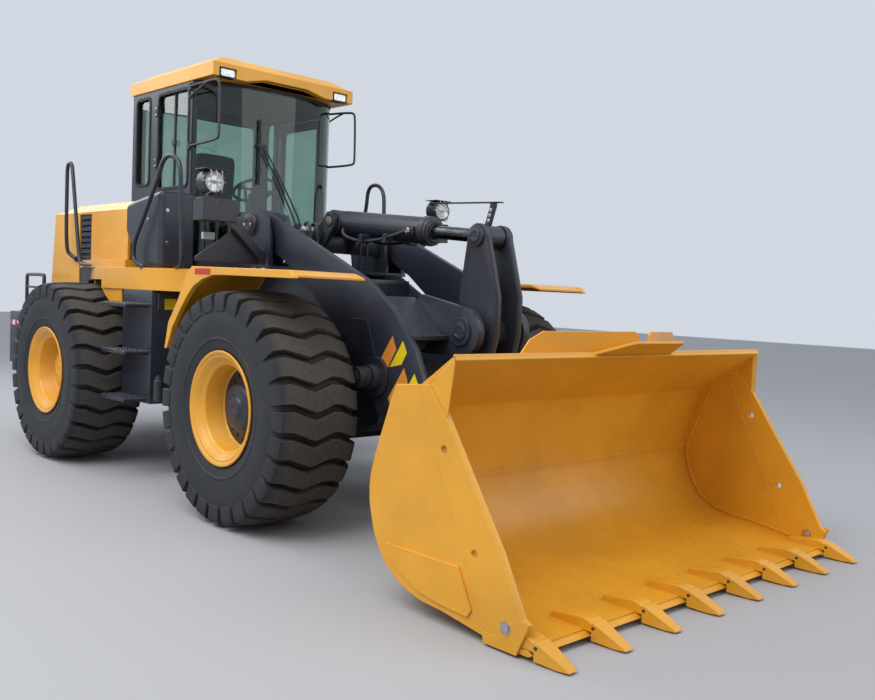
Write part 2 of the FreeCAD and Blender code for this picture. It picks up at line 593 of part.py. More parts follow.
def rocker():
    pts = [(TILT_EYE[0] - 80, TILT_EYE[1] + 20), (TILT_EYE[0], TILT_EYE[1] + 82),
           (TILT_EYE[0] + 80, TILT_EYE[1] + 20), (ROCKER_PIN[0] + 190, ROCKER_PIN[1] + 240),
           (ROCKER_PIN[0] + 190, ROCKER_PIN[1] - 10), (LINK_PIN[0] + 90, LINK_PIN[1]),
           (LINK_PIN[0], LINK_PIN[1] - 90), (LINK_PIN[0] - 90, LINK_PIN[1]),
           (ROCKER_PIN[0] - 140, ROCKER_PIN[1] - 60), (ROCKER_PIN[0] - 150, ROCKER_PIN[1] + 240)]
    plates = [side_plate(pts, 80, 130), side_plate(pts, -130, -80)]
    hub = shaft_y(ROCKER_PIN, -180, 180, 100)
    bosses = [shaft_y(TILT_EYE, 130, 150, 70), shaft_y(TILT_EYE, -150, -130, 70)]
    bosses += [shaft_y(LINK_PIN, 130, 150, 75), shaft_y(LINK_PIN, -150, -130, 75)]
    body = join(plates + [hub] + bosses)
    return body.cut(shaft_y(ROCKER_PIN, -181, 181, PIN_R + RUN_GAP))


def push_link():
    a, b = LINK_PIN, BUCKET_LINK_PIN
    bar = shaft_between(Vector(a[0], 0, a[1]), Vector(b[0], 0, b[1]), 62)
    rear_eye = shaft_y(a, -70, 70, 88)
    front_eye = shaft_y(b, -70, 70, 88)
    pin = shaft_y(a, -73, 73, 40)
    body = join([bar, rear_eye, front_eye, pin])
    return body.cut(shaft_y(b, -71, 71, PIN_R + RUN_GAP))


def along(a, b, distance):
    span = math.hypot(b[0] - a[0], b[1] - a[1])
    k = distance / span
    return (a[0] + (b[0] - a[0]) * k, a[1] + (b[1] - a[1]) * k)


def barrel_solid(a, b, y, length, radius, bore, rod_bore, eye_r, eye_half, pin_r):
    """Hollow barrel hinged at a and pointing at b, lying at height y across the machine."""
    p = [along(a, b, d) for d in (0, eye_r * 0.6, eye_r + 40, length - 60, length)]
    q = [Vector(c[0], y, c[1]) for c in p]
    body = join([shaft_between(q[1], q[4], radius), shaft_y(a, y - eye_half, y + eye_half, eye_r)])
    body = body.cut(shaft_between(q[2], q[3], bore))
    body = body.cut(shaft_between(q[2], q[4].add(q[4].sub(q[3])), rod_bore))
    return body.cut(shaft_y(a, y - eye_half - 60, y + eye_half + 60, pin_r))


def rod_solid(a, b, y, start, radius, eye_r, eye_half, pin_half):
    s = along(a, b, start)
    rod = shaft_between(Vector(s[0], y, s[1]), Vector(b[0], y, b[1]), radius)
    eye = shaft_y(b, y - eye_half, y + eye_half, eye_r)
    pin = shaft_y(b, y - pin_half, y + pin_half, 38)
    return join([rod, eye, pin])


LIFT_ROD_R = 40.0
TILT_ROD_R = 47.0
STEER_ROD_R = 24.0


def tilt_pin():
    return shaft_y(TILT_BASE, -158, 158, 40)


def tilt_barrel():
    return barrel_solid(TILT_BASE, TILT_EYE, 0, 1040, 98, 70, TILT_ROD_R + RUN_GAP, 95, 108, 40 + RUN_GAP)


def tilt_rod():
    rod = rod_solid(TILT_BASE, TILT_EYE, 0, 640, TILT_ROD_R, 75, 68, 72)
    post = box(TILT_EYE[0] - 90, TILT_EYE[0] - 50, -25, 25, TILT_EYE[1], TILT_EYE[1] + 190)
    bar = box(TILT_EYE[0] - 560, TILT_EYE[0] - 50, -12, 12, TILT_EYE[1] + 165, TILT_EYE[1] + 190)
    return join([rod, post, bar])


def lift_barrel():
    return barrel_solid(LIFT_BASE, LIFT_EYE, LIFT_CYL_Y, 1190, 68, 56, LIFT_ROD_R + RUN_GAP, 78, 50,
                        PIN_R + RUN_GAP)


def lift_rod():
    return rod_solid(LIFT_BASE, LIFT_EYE, LIFT_CYL_Y, 130, LIFT_ROD_R, 70, 46, 48)


def steer_pieces(side_sign):
    a = Vector(STEER_BASE[0], side_sign * STEER_BASE[1], STEER_Z)
    b = Vector(STEER_EYE[0], side_sign * STEER_EYE[1], STEER_Z)
    span = b.sub(a)
    unit = Vector(span.x / span.Length, span.y / span.Length, 0)

    def at(d):
        return a.add(Vector(unit.x * d, unit.y * d, 0))

    barrel = join([shaft_between(at(30), at(620), 48),
                   Part.makeCylinder(56, 120, Vector(a.x, a.y, STEER_Z - 60), Vector(0, 0, 1))])
    barrel = barrel.cut(shaft_between(at(90), at(590), 36))
    barrel = barrel.cut(shaft_between(at(90), at(680), STEER_ROD_R + RUN_GAP))
    barrel = barrel.cut(Part.makeCylinder(30 + RUN_GAP, 200, Vector(a.x, a.y, STEER_Z - 100), Vector(0, 0, 1)))
    rod = join([shaft_between(at(340), b, STEER_ROD_R),
                Part.makeCylinder(48, 100, Vector(b.x, b.y, STEER_Z - 50), Vector(0, 0, 1)),
                Part.makeCylinder(28, 108, Vector(b.x, b.y, STEER_Z - 54), Vector(0, 0, 1))])
    return barrel, rod


# Bucket
BUCKET_BACK = [(2123, 1157), (1855, 1137), (1818, 1070), (1677, 563), (1845, 257), (2120, 122),
               (2534, 44), (2579, 34), (2813, 158)]


def bucket_shell():
    x0 = FRONT_AXLE_X
    half, t = BUCKET_HALF, BUCKET_PLATE
    side = side_plate(front_x(BUCKET_BACK), half - t, half)
    sides = both_sides(side)
    outer = front_x([(1855, 1030), (1790, 960), (1695, 640), (1697, 520), (1860, 262), (2125, 112),
                     (2560, 30), (2800, 30)])
    inner = front_x([(2800, 60), (2563, 60), (2135, 142), (1881, 284), (1727, 530), (1726, 632),
                     (1818, 947), (1872, 1004)])
    skin = side_plate(outer + inner, -half + t, half - t)
    top = side_plate(front_x([(1855, 1030), (1872, 1004), (2268, 1290), (2257, 1316)]), -half + 55, half - 55)
    edge = side_plate(front_x([(2600, 20), (2860, 20), (2890, 32), (2860, 50), (2600, 50)]), -half, half)
    parts = sides + [skin, top, edge]
    # Hinge ears
    for y0 in (470, BOOM_HALF + 15 + MOVE_GAP):
        ear = side_plate([(BUCKET_PIN[0] - 80, BUCKET_PIN[1] + 60), (BUCKET_PIN[0] - 80, BUCKET_PIN[1] - 60),
                          (BUCKET_PIN[0], BUCKET_PIN[1] - 100), (x0 + 1900, 200), (x0 + 1720, 520),
                          (x0 + 1720, 700), (x0 + 1640, 640)], y0, y0 + 40)
        parts += both_sides(ear)
    parts += both_sides(shaft_y(BUCKET_PIN, 470, BOOM_HALF + 15 + MOVE_GAP + 40, PIN_R))
    parts.append(shaft_y(BUCKET_LINK_PIN, -135, 135, PIN_R))
    for y0 in (80, -120):
        ear = side_plate([(BUCKET_LINK_PIN[0] - 90, BUCKET_LINK_PIN[1] + 50),
                          (BUCKET_LINK_PIN[0] - 90, BUCKET_LINK_PIN[1] - 50),
                          (BUCKET_LINK_PIN[0] - 30, BUCKET_LINK_PIN[1] - 110), (x0 + 1720, 540),
                          (x0 + 1790, 900), (BUCKET_LINK_PIN[0] + 20, BUCKET_LINK_PIN[1] + 110)], y0, y0 + 40)
        parts.append(ear)
    return join(parts)


def bucket_teeth(bucket):
    x0 = FRONT_AXLE_X
    half = BUCKET_HALF
    pitch = (2 * half - 96.0) / (TOOTH_COUNT - 1)
    teeth = []
    for k in range(TOOTH_COUNT):
        y = -half + 48 + k * pitch
        pts = front_x([(2600, 51), (2660, 110), (2780, 130), (2860, 110), (3022, 58), (3030, 48), (2960, 20),
                       (2894, 18), (2894, 51)])
        teeth.append(side_plate(pts, y - 45, y + 45))
    return Part.makeCompound([t.cut(bucket) for t in teeth])


def spill_guard(bucket):
    x0 = FRONT_AXLE_X
    parts = []
    for side_sign in (-1, 1):
        y0, y1 = sorted((side_sign * 400.0, side_sign * 960.0))
        parts.append(box(x0 + 2150, x0 + 2170, y0, y1, 1240, 1430).cut(bucket))
    return Part.makeCompound(parts)


def write_all():
    os.makedirs("parts", exist_ok=True)
    nodes = {}
    for name, axle_x, side_sign in (("front_right", FRONT_AXLE_X, -1), ("front_left", FRONT_AXLE_X, 1),
                                    ("rear_right", REAR_AXLE_X, -1), ("rear_left", REAR_AXLE_X, 1)):
        for kind, maker in (("tyre_", tyre), ("rim_", rim)):
            shape = maker(axle_x)
            nodes[kind + name] = shape if side_sign > 0 else mirrored(shape)
    nodes["rear_frame"] = rear_frame()
    nodes["rear_axle"] = rear_axle()
    nodes["counterweight"] = counterweight()
    nodes["engine_block"] = engine_block()
    nodes["hood"] = hood()
    nodes["rear_grille"] = rear_grille()
    nodes["vent_column"] = vent_column()
    nodes["platform_left"] = platform()
    nodes["platform_right"] = mirrored(platform())
    nodes["ladder_left"] = ladder()
    nodes["ladder_right"] = mirrored(ladder())
    nodes["cab_floor"] = cab_floor()
    nodes["cab_frame"] = join([cab_frame()] + door_hinge_pins())
    nodes["cab_roof"] = cab_roof()
    nodes["windshield"] = windshield()
    nodes.update(cab_glass())
    nodes["door_frame"] = door_frame()
    nodes["door_glass"] = door_glass()
    nodes["seat"] = seat()
    nodes["steering_column"] = steering_column()
    nodes["tank_cover"] = tank_cover()
    nodes["exhaust"] = exhaust()
    rails_left = Part.makeCompound([hand_rail(), rear_hand_rail()])
    nodes["hand_rails_left"] = rails_left
    nodes["hand_rails_right"] = mirrored(rails_left)
    nodes["guard_rails"] = Part.makeCompound(both_sides(rear_guard_rail()))
    nodes["front_frame"] = front_frame()
    nodes["front_axle"] = front_axle()
    nodes["fender_left"] = fender()
    nodes["fender_right"] = mirrored(fender())
    nodes["headlamp_left"] = headlamp()
    nodes["headlamp_right"] = mirrored(headlamp())
    nodes["boom"] = boom()
    nodes["rocker"] = rocker()
    nodes["push_link"] = push_link()
    nodes["tilt_pin"] = tilt_pin()
    nodes["tilt_barrel"] = tilt_barrel()
    nodes["tilt_rod"] = tilt_rod()
    nodes["lift_barrels"] = Part.makeCompound(both_sides(lift_barrel()))
    nodes["lift_rods"] = Part.makeCompound(both_sides(lift_rod()))
    for name, side_sign in (("left", 1), ("right", -1)):
        barrel, rod = steer_pieces(side_sign)
        nodes["steer_barrel_" + name] = barrel
        nodes["steer_rod_" + name] = rod
    bucket = bucket_shell()
    nodes["bucket"] = bucket
    nodes["bucket_teeth"] = bucket_teeth(bucket)
    nodes["spill_guard"] = spill_guard(bucket)
    for name, shape in nodes.items():
        shape.exportStep("parts/" + name + ".step")


write_all()
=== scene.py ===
import json
import math

import bmesh
import bpy
from mathutils import Matrix, Vector

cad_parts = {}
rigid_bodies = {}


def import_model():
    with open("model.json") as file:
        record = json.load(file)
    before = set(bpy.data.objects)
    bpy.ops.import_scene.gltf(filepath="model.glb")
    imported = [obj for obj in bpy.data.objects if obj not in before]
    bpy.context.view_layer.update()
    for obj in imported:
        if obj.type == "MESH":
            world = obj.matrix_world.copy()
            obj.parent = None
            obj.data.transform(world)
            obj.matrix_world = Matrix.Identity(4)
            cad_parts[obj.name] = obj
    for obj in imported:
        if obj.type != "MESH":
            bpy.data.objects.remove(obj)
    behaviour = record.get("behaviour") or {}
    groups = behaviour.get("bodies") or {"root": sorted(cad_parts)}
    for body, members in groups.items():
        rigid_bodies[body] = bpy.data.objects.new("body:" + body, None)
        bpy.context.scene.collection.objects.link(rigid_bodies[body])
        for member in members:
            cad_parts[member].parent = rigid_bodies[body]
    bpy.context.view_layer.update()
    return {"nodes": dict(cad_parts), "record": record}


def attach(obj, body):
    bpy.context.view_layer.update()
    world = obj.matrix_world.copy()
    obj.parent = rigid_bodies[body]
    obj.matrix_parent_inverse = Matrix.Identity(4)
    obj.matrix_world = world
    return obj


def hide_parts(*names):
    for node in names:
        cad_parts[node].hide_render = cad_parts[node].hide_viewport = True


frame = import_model()
nodes = frame["nodes"]

FRONT_AXLE_X, REAR_AXLE_X = 0.950, -2.050
TRACK_HALF, WHEEL_Z = 1.125, 0.790
TYRE_HALF = 0.2975
WHEELS = {
    "front_right": (FRONT_AXLE_X, -1),
    "front_left": (FRONT_AXLE_X, 1),
    "rear_right": (REAR_AXLE_X, -1),
    "rear_left": (REAR_AXLE_X, 1),
}


# Materials
def material(name, color, roughness, metallic=0.0, **sockets):
    m = bpy.data.materials.new(name)
    m.use_nodes = True
    shader = m.node_tree.nodes["Principled BSDF"]
    shader.inputs["Base Color"].default_value = (*color, 1)
    shader.inputs["Roughness"].default_value = roughness
    shader.inputs["Metallic"].default_value = metallic
    for socket, value in sockets.items():
        shader.inputs[socket.replace("_", " ")].default_value = value
    return m


def add_node(m, kind, **values):
    n = m.node_tree.nodes.new(kind)
    for key, value in values.items():
        if hasattr(n, key):
            setattr(n, key, value)
        else:
            n.inputs[key.replace("_", " ")].default_value = value
    return n


def link(m, a, b):
    m.node_tree.links.new(a, b)


def noise(m, scale, detail=4.0, rough=0.6, stretch=None):
    coords = add_node(m, "ShaderNodeTexCoord")
    n = add_node(m, "ShaderNodeTexNoise", Scale=scale, Detail=detail, Roughness=rough)
    if stretch:
        mapping = add_node(m, "ShaderNodeMapping")
        mapping.inputs["Scale"].default_value = stretch
        link(m, coords.outputs["Object"], mapping.inputs["Vector"])
        link(m, mapping.outputs["Vector"], n.inputs["Vector"])
    else:
        link(m, coords.outputs["Object"], n.inputs["Vector"])
    return n.outputs["Fac"]


def math_node(m, operation, a, b=None, c=None, clamp=False):
    n = add_node(m, "ShaderNodeMath", operation=operation)
    n.use_clamp = clamp
    for i, v in enumerate((a, b, c)):
        if v is None:
            continue
        if isinstance(v, (int, float)):
            n.inputs[i].default_value = v
        else:
            link(m, v, n.inputs[i])
    return n.outputs[0]


def ramp(m, value, low, high, out_low=0.0, out_high=1.0):
    n = add_node(m, "ShaderNodeMapRange")
    n.interpolation_type = "SMOOTHSTEP"
    link(m, value, n.inputs["Value"])
    for socket, v in (("From Min", low), ("From Max", high), ("To Min", out_low), ("To Max", out_high)):
        n.inputs[socket].default_value = v
    return n.outputs["Result"]


def blend_color(m, factor, a, b):
    n = add_node(m, "ShaderNodeMix", data_type="RGBA")
    fac, col_a, col_b = n.inputs[0], n.inputs[6], n.inputs[7]
    if isinstance(factor, (int, float)):
        fac.default_value = factor
    else:
        link(m, factor, fac)
    for socket, v in ((col_a, a), (col_b, b)):
        if isinstance(v, tuple):
            socket.default_value = (*v, 1)
        else:
            link(m, v, socket)
    return n.outputs[2]


def bump(m, height, strength, distance=0.001):
    n = add_node(m, "ShaderNodeBump", Strength=strength, Distance=distance)
    link(m, height, n.inputs["Height"])
    link(m, n.outputs["Normal"], m.node_tree.nodes["Principled BSDF"].inputs["Normal"])


def up_facing(m):
    geometry = add_node(m, "ShaderNodeNewGeometry")
    split = add_node(m, "ShaderNodeSeparateXYZ")
    link(m, geometry.outputs["Normal"], split.inputs[0])
    return split.outputs["Z"]


def height(m):
    geometry = add_node(m, "ShaderNodeNewGeometry")
    split = add_node(m, "ShaderNodeSeparateXYZ")
    link(m, geometry.outputs["Position"], split.inputs[0])
    return split.outputs["Z"]


def painted(name, color, dust_color, roughness=0.4, dust=0.35, coat=0.25):
    """Machine paint: slight mottling, dust on upward faces and low down, faint orange peel."""
    m = material(name, color, roughness, Coat_Weight=coat, Coat_Roughness=0.25)
    shader = m.node_tree.nodes["Principled BSDF"]
    broad = noise(m, 1.7, 5.0)
    fine = noise(m, 24.0, 6.0, 0.7)
    streak = noise(m, 9.0, 5.0, 0.6, stretch=(1.0, 1.0, 0.12))
    shade = tuple(c * 0.86 for c in color)
    tone = blend_color(m, ramp(m, broad, 0.35, 0.65), shade, color)
    up = ramp(m, up_facing(m), 0.3, 1.0, 0.12, 1.0)
    low = ramp(m, height(m), 1.3, 0.2, 0.0, 0.5)
    grime = math_node(m, "ADD", up, low)
    patches = math_node(m, "MULTIPLY", ramp(m, fine, 0.4, 0.72), ramp(m, streak, 0.35, 0.7, 0.4, 1.0))
    amount = math_node(m, "MULTIPLY", math_node(m, "MULTIPLY", grime, patches), dust, clamp=True)
    link(m, blend_color(m, amount, tone, dust_color), shader.inputs["Base Color"])
    link(m, math_node(m, "ADD", math_node(m, "MULTIPLY", amount, 0.5), ramp(m, fine, 0.3, 0.7, roughness - 0.05, roughness + 0.07), clamp=True), shader.inputs["Roughness"])
    bump(m, noise(m, 160.0, 2.0), 0.06, 0.002)
    return m


YELLOW = (0.77, 0.352, 0.017)
DARK = (0.018, 0.021, 0.034)
DUST = (0.33, 0.28, 0.21)
yellow_paint = painted("yellow_paint_look", YELLOW, (0.55, 0.40, 0.20), 0.42, 0.3, 0.3)
dark_paint = painted("dark_paint_look", DARK, (0.095, 0.092, 0.09), 0.42, 0.40, 0.2)


def bucket_look():
    """Yellow paint whose dust, on upward faces and low down, is a duller brownish yellow."""
    m = painted("bucket_paint_look", YELLOW, (0.70, 0.36, 0.05), 0.40, 0.16, 0.2)
    return m


bucket_paint = bucket_look()


def rubber_look():
    """Tread tops carry brown-grey dust; grooves stay black; sidewalls are dark and slightly blue."""
    m = material("tyre_rubber_look", (0.012, 0.013, 0.015), 0.72)
    shader = m.node_tree.nodes["Principled BSDF"]
    coords = add_node(m, "ShaderNodeTexCoord")
    split = add_node(m, "ShaderNodeSeparateXYZ")
    link(m, coords.outputs["Object"], split.inputs[0])
    x, z = split.outputs["X"], split.outputs["Z"]
    radius = math_node(m, "SQRT", math_node(m, "ADD", math_node(m, "MULTIPLY", x, x), math_node(m, "MULTIPLY", z, z)))
    fine = noise(m, 30.0, 8.0, 0.7)
    broad = noise(m, 5.0, 4.0)
    tread = math_node(m, "MULTIPLY", ramp(m, radius, 0.752, 0.778), ramp(m, fine, 0.2, 0.75, 0.45, 1.0))
    wall = ramp(m, broad, 0.4, 0.75, 0.0, 0.25)
    wall_color = blend_color(m, wall, (0.013, 0.015, 0.019), (0.05, 0.048, 0.045))
    link(m, blend_color(m, tread, wall_color, (0.068, 0.057, 0.047)), shader.inputs["Base Color"])
    link(m, ramp(m, radius, 0.70, 0.78, 0.62, 0.85), shader.inputs["Roughness"])
    bump(m, fine, 0.35, 0.004)
    return m


tyre_rubber = rubber_look()


def metal(name, color, roughness, grain=(1, 1, 1), spread=0.12, metallic=1.0):
    m = material(name, color, roughness, metallic)
    shader = m.node_tree.nodes["Principled BSDF"]
    n = noise(m, 30.0, 6.0, 0.7, stretch=grain)
    link(m, blend_color(m, ramp(m, n, 0.3, 0.7), tuple(c * 0.72 for c in color), color), shader.inputs["Base Color"])
    link(m, ramp(m, n, 0.25, 0.75, roughness - spread / 2, roughness + spread), shader.inputs["Roughness"])
    bump(m, n, 0.12, 0.001)
    return m


steel = metal("worn_steel_look", (0.30, 0.28, 0.25), 0.45)
rod_chrome = metal("rod_chrome_look", (0.78, 0.79, 0.8), 0.12, (1, 1, 1), 0.06)
cast_metal = metal("cast_metal_look", (0.05, 0.052, 0.058), 0.6, metallic=0.3)
bright_metal = metal("bright_metal_look", (0.6, 0.6, 0.6), 0.25)


def plastic(name, color, roughness=0.55):
    m = material(name, color, roughness)
    n = noise(m, 220.0, 3.0)
    shader = m.node_tree.nodes["Principled BSDF"]
    link(m, blend_color(m, ramp(m, n, 0.3, 0.7), tuple(c * 0.8 for c in color), color), shader.inputs["Base Color"])
    bump(m, n, 0.2, 0.001)
    return m


cab_plastic = plastic("cab_plastic_look", (0.03, 0.031, 0.034))
black_rubber = plastic("black_rubber_look", (0.012, 0.012, 0.013), 0.65)
white_label = plastic("label_white_look", (0.72, 0.73, 0.72), 0.4)
stripe_orange = plastic("stripe_orange_look", (0.84, 0.30, 0.045), 0.35)
stripe_yellow = plastic("stripe_yellow_look", (0.90, 0.68, 0.015), 0.35)
red_lens = plastic("red_lens_look", (0.55, 0.02, 0.012), 0.2)


def glass_look():
    m = material("cab_glass_look", (0.42, 0.56, 0.51), 0.03, 0.0, Transmission_Weight=1.0, IOR=1.45)
    n = noise(m, 3.0, 3.0)
    shader = m.node_tree.nodes["Principled BSDF"]
    link(m, ramp(m, n, 0.3, 0.8, 0.0, 0.012), shader.inputs["Roughness"])
    return m


cab_glass = glass_look()


def fabric_look():
    """Woven seat cloth: fine crossed threads."""
    m = material("seat_fabric_look", (0.022, 0.024, 0.028), 0.85)
    shader = m.node_tree.nodes["Principled BSDF"]
    coords = add_node(m, "ShaderNodeTexCoord")
    waves = []
    for axis in ("X", "Y"):
        w = add_node(m, "ShaderNodeTexWave", Scale=220.0, Distortion=0.4)
        w.bands_direction = axis
        link(m, coords.outputs["Object"], w.inputs["Vector"])
        waves.append(w.outputs["Fac"])
    weave = math_node(m, "MULTIPLY", *waves)
    link(m, blend_color(m, weave, (0.016, 0.017, 0.020), (0.040, 0.043, 0.050)), shader.inputs["Base Color"])
    bump(m, weave, 0.4, 0.001)
    return m


seat_fabric = fabric_look()
steel_pipe = metal("steel_pipe_look", (0.05, 0.052, 0.06), 0.35, metallic=0.5)
reflector = metal("reflector_look", (0.85, 0.85, 0.84), 0.16, (1, 1, 1), 0.05)
for dent in [n for n in reflector.node_tree.nodes if n.bl_idname == "ShaderNodeBump"]:
    dent.inputs["Strength"].default_value = 0.02
lamp_glass = material("lamp_glass_look", (0.95, 0.96, 0.97), 0.08, 0.0, Transmission_Weight=0.9, IOR=1.45)

LOOKS = {
    "yellow_paint": yellow_paint,
    "dark_paint": dark_paint,
    "tyre_rubber": tyre_rubber,
    "cab_glass": cab_glass,
    "steel": steel,
    "rod_chrome": rod_chrome,
    "cast_metal": cast_metal,
    "cab_plastic": cab_plastic,
}
SLOT_OF = {s["node"]: s["material_slot"] for s in frame["record"]["subparts"]}
NODE_LOOKS = {"bucket": bucket_paint}
NO_BEVEL = {"cab_glass_right_front", "cab_glass_right_rear", "cab_glass_left_rear", "cab_glass_back", "door_glass"}
for node_name, obj in nodes.items():
    obj.data.materials.clear()
    obj.data.materials.append(NODE_LOOKS.get(node_name, LOOKS[SLOT_OF[node_name]]))
    if node_name in NO_BEVEL:
        continue
    obj.data.polygons.foreach_set("use_smooth", [True] * len(obj.data.polygons))
    weld = obj.modifiers.new("weld", "WELD")
    weld.merge_threshold = 0.00002
    edge = obj.modifiers.new("edge", "BEVEL")
    edge.width = 0.004
    edge.segments = 2
    edge.limit_method = "ANGLE"
    edge.angle_limit = math.radians(28)
    edge.harden_normals = True


# Mesh helpers
def new_object(name, mesh, look, body):
    obj = bpy.data.objects.new(name, mesh)
    bpy.context.scene.collection.objects.link(obj)
    if look is not None and not mesh.materials:
        mesh.materials.append(look)
    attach(obj, body)
    return obj


def mesh_from(name, verts, faces, smooth=True):
    mesh = bpy.data.meshes.new(name)
    mesh.from_pydata(verts, [], faces)
    bm = bmesh.new()
    bm.from_mesh(mesh)
    bmesh.ops.recalc_face_normals(bm, faces=bm.faces)
    bm.to_mesh(mesh)
    bm.free()
    mesh.polygons.foreach_set("use_smooth", [smooth] * len(mesh.polygons))
    return mesh


def soften(obj, width, segments=2, angle=28):
    edge = obj.modifiers.new("edge", "BEVEL")
    edge.width = width
    edge.segments = segments
    edge.limit_method = "ANGLE"
    edge.angle_limit = math.radians(angle)
    edge.harden_normals = True
    return obj


def lathe_data(profile, segments, closed=True):
    """Ring about the local Y axis; profile is a list of (radius, y)."""
    verts, faces = [], []
    count = len(profile)
    for k in range(segments):
        a = 2 * math.pi * k / segments
        verts += [(r * math.cos(a), y, r * math.sin(a)) for r, y in profile]
    last = count if closed else count - 1
    for k in range(segments):
        n = (k + 1) % segments
        for i in range(last):
            j = (i + 1) % count
            faces.append((k * count + i, k * count + j, n * count + j, n * count + i))
    return verts, faces


# Tyres: carcass with a ring on the wall, and 28 wavy bars over the full width
LUGS = 28
CARCASS_HALF = [(0.366, 0.244), (0.380, 0.258), (0.415, 0.272), (0.450, 0.281), (0.455, 0.287), (0.466, 0.289),
                (0.471, 0.286), (0.520, 0.2925), (0.580, 0.2945), (0.640, 0.290), (0.685, 0.277), (0.712, 0.258),
                (0.730, 0.225), (0.741, 0.170), (0.746, 0.090), (0.747, 0.0)]
BAR_HALF = [(0.646, 0.2962, 0.640, 0.280), (0.690, 0.2972, 0.680, 0.272), (0.735, 0.2968, 0.710, 0.250),
            (0.757, 0.288, 0.722, 0.235), (0.768, 0.262, 0.732, 0.215), (0.777, 0.215, 0.738, 0.185),
            (0.783, 0.160, 0.741, 0.150), (0.787, 0.090, 0.744, 0.090), (0.789, 0.045, 0.745, 0.045),
            (0.790, 0.0, 0.745, 0.0)]
WAVE = [(0.0, 0.0), (0.14, 0.0), (0.42, 0.062), (0.70, 0.004), (0.93, 0.060), (1.0, 0.060)]


def wave(v):
    for (v0, o0), (v1, o1) in zip(WAVE, WAVE[1:]):
        if v <= v1:
            return o0 + (o1 - o0) * (v - v0) / (v1 - v0)
    return WAVE[-1][1]


def tyre_mesh():
    """Tyre of a right-hand wheel, whose outer side is -Y, about its own centre."""
    outer = [(r, -y) for r, y in CARCASS_HALF]
    inner = [(r, y) for r, y in reversed(CARCASS_HALF[:-1])]
    verts, faces = lathe_data(outer + inner, LUGS * 4)
    stations = [(rt, -yt, rb, -yb) for rt, yt, rb, yb in BAR_HALF]
    stations += [(rt, yt, rb, yb) for rt, yt, rb, yb in reversed(BAR_HALF[:-1])]
    for k in range(LUGS):
        a0 = 2 * math.pi * k / LUGS
        start = len(verts)
        for rt, yt, rb, yb in stations:
            v = (yt + TYRE_HALF) / (2 * TYRE_HALF)
            centre = a0 - wave(v) / 0.79
            half_top = (0.062 if rt > 0.74 else 0.066) / 0.79
            half_base = half_top + 0.011 / 0.79
            for r, y, a in ((rb, yb, centre - half_base), (rt, yt, centre - half_top),
                            (rt, yt, centre + half_top), (rb, yb, centre + half_base)):
                verts.append((r * math.cos(a), y, r * math.sin(a)))
        for i in range(len(stations) - 1):
            p, q = start + 4 * i, start + 4 * (i + 1)
            for j in range(3):
                faces.append((p + j, q + j, q + j + 1, p + j + 1))
            faces.append((p + 3, q + 3, q, p))
        faces.append(tuple(start + j for j in range(4)))
        end = start + 4 * (len(stations) - 1)
        faces.append(tuple(end + j for j in (3, 2, 1, 0)))
    return mesh_from("tyre", verts, faces)


# Rims: rolled flange, lock ring step, deep dish, disc with wheel nuts and the hub in its middle
RIM_PROFILE = [(0.350, 0.240), (0.3655, 0.250), (0.378, 0.262), (0.3845, 0.270), (0.3825, 0.277), (0.374, 0.278),
               (0.366, 0.272), (0.356, 0.268), (0.352, 0.262), (0.349, 0.264), (0.342, 0.262), (0.336, 0.252),
               (0.330, 0.250), (0.322, 0.238), (0.300, 0.222), (0.290, 0.216), (0.284, 0.206), (0.281, 0.080),
               (0.272, 0.070), (0.170, 0.066), (0.170, 0.050), (0.290, 0.050), (0.330, 0.200)]


def rim_mesh():
    back = [(0.356, -0.240), (0.372, -0.270), (0.368, -0.277), (0.352, -0.268), (0.330, -0.240), (0.318, -0.18)]
    verts, faces = lathe_data([(r, -y) for r, y in RIM_PROFILE], 96)
    more, more_faces = lathe_data([(r, -y) for r, y in back] + [(0.300, 0.0), (0.292, -0.04), (0.345, -0.1)], 96)
    base = len(verts)
    verts += more
    faces += [tuple(base + i for i in f) for f in more_faces]
    return mesh_from("rim", verts, faces)


def hub_mesh(front):
    if front:
        # Front: the flange widens over the rim's disc and is dark, as painted shade of the deep front dish
        profile = [(0.0, 0.168), (0.060, 0.168), (0.074, 0.160), (0.080, 0.150), (0.118, 0.148), (0.150, 0.138),
                   (0.158, 0.128), (0.160, 0.078), (0.172, 0.0712), (0.266, 0.0708), (0.270, 0.0660), (0.0, 0.060)]
    else:
        profile = [(0.0, 0.150), (0.052, 0.150), (0.070, 0.142), (0.120, 0.136), (0.158, 0.122), (0.168, 0.110),
                   (0.170, 0.080), (0.190, 0.072), (0.190, 0.060), (0.0, 0.060)]
    verts, faces = lathe_data([(max(r, 0.0005), -y) for r, y in profile], 64)
    return mesh_from("hub", verts, faces)


def hex_bolts(name, places, body, look, tall=1.0):
    """Hexagon heads on washers; places are (point, outward direction, across-corners radius)."""
    verts, faces = [], []
    for point, direction, radius in places:
        turn = Vector((0, 0, 1)).rotation_difference(Vector(direction)).to_matrix()
        for sides, r0, r1, h0, h1 in ((16, radius * 1.35, radius * 1.3, -0.002, radius * 0.15),
                                      (6, radius, radius, radius * 0.15, radius * 0.40 * tall),
                                      (6, radius, radius * 0.8, radius * 0.40 * tall, radius * 0.46 * tall)):
            start = len(verts)
            for r, h in ((r0, h0), (r1, h1)):
                for k in range(sides):
                    a = 2 * math.pi * k / sides
                    verts.append(tuple(Vector(point) + turn @ Vector((r * math.cos(a), r * math.sin(a), h))))
            for k in range(sides):
                n = (k + 1) % sides
                faces.append((start + k, start + n, start + sides + n, start + sides + k))
            faces.append(tuple(start + sides + k for k in range(sides)))
            faces.append(tuple(start + k for k in reversed(range(sides))))
    mesh = mesh_from(name, verts, faces, smooth=False)
    return new_object(name, mesh, look, body)


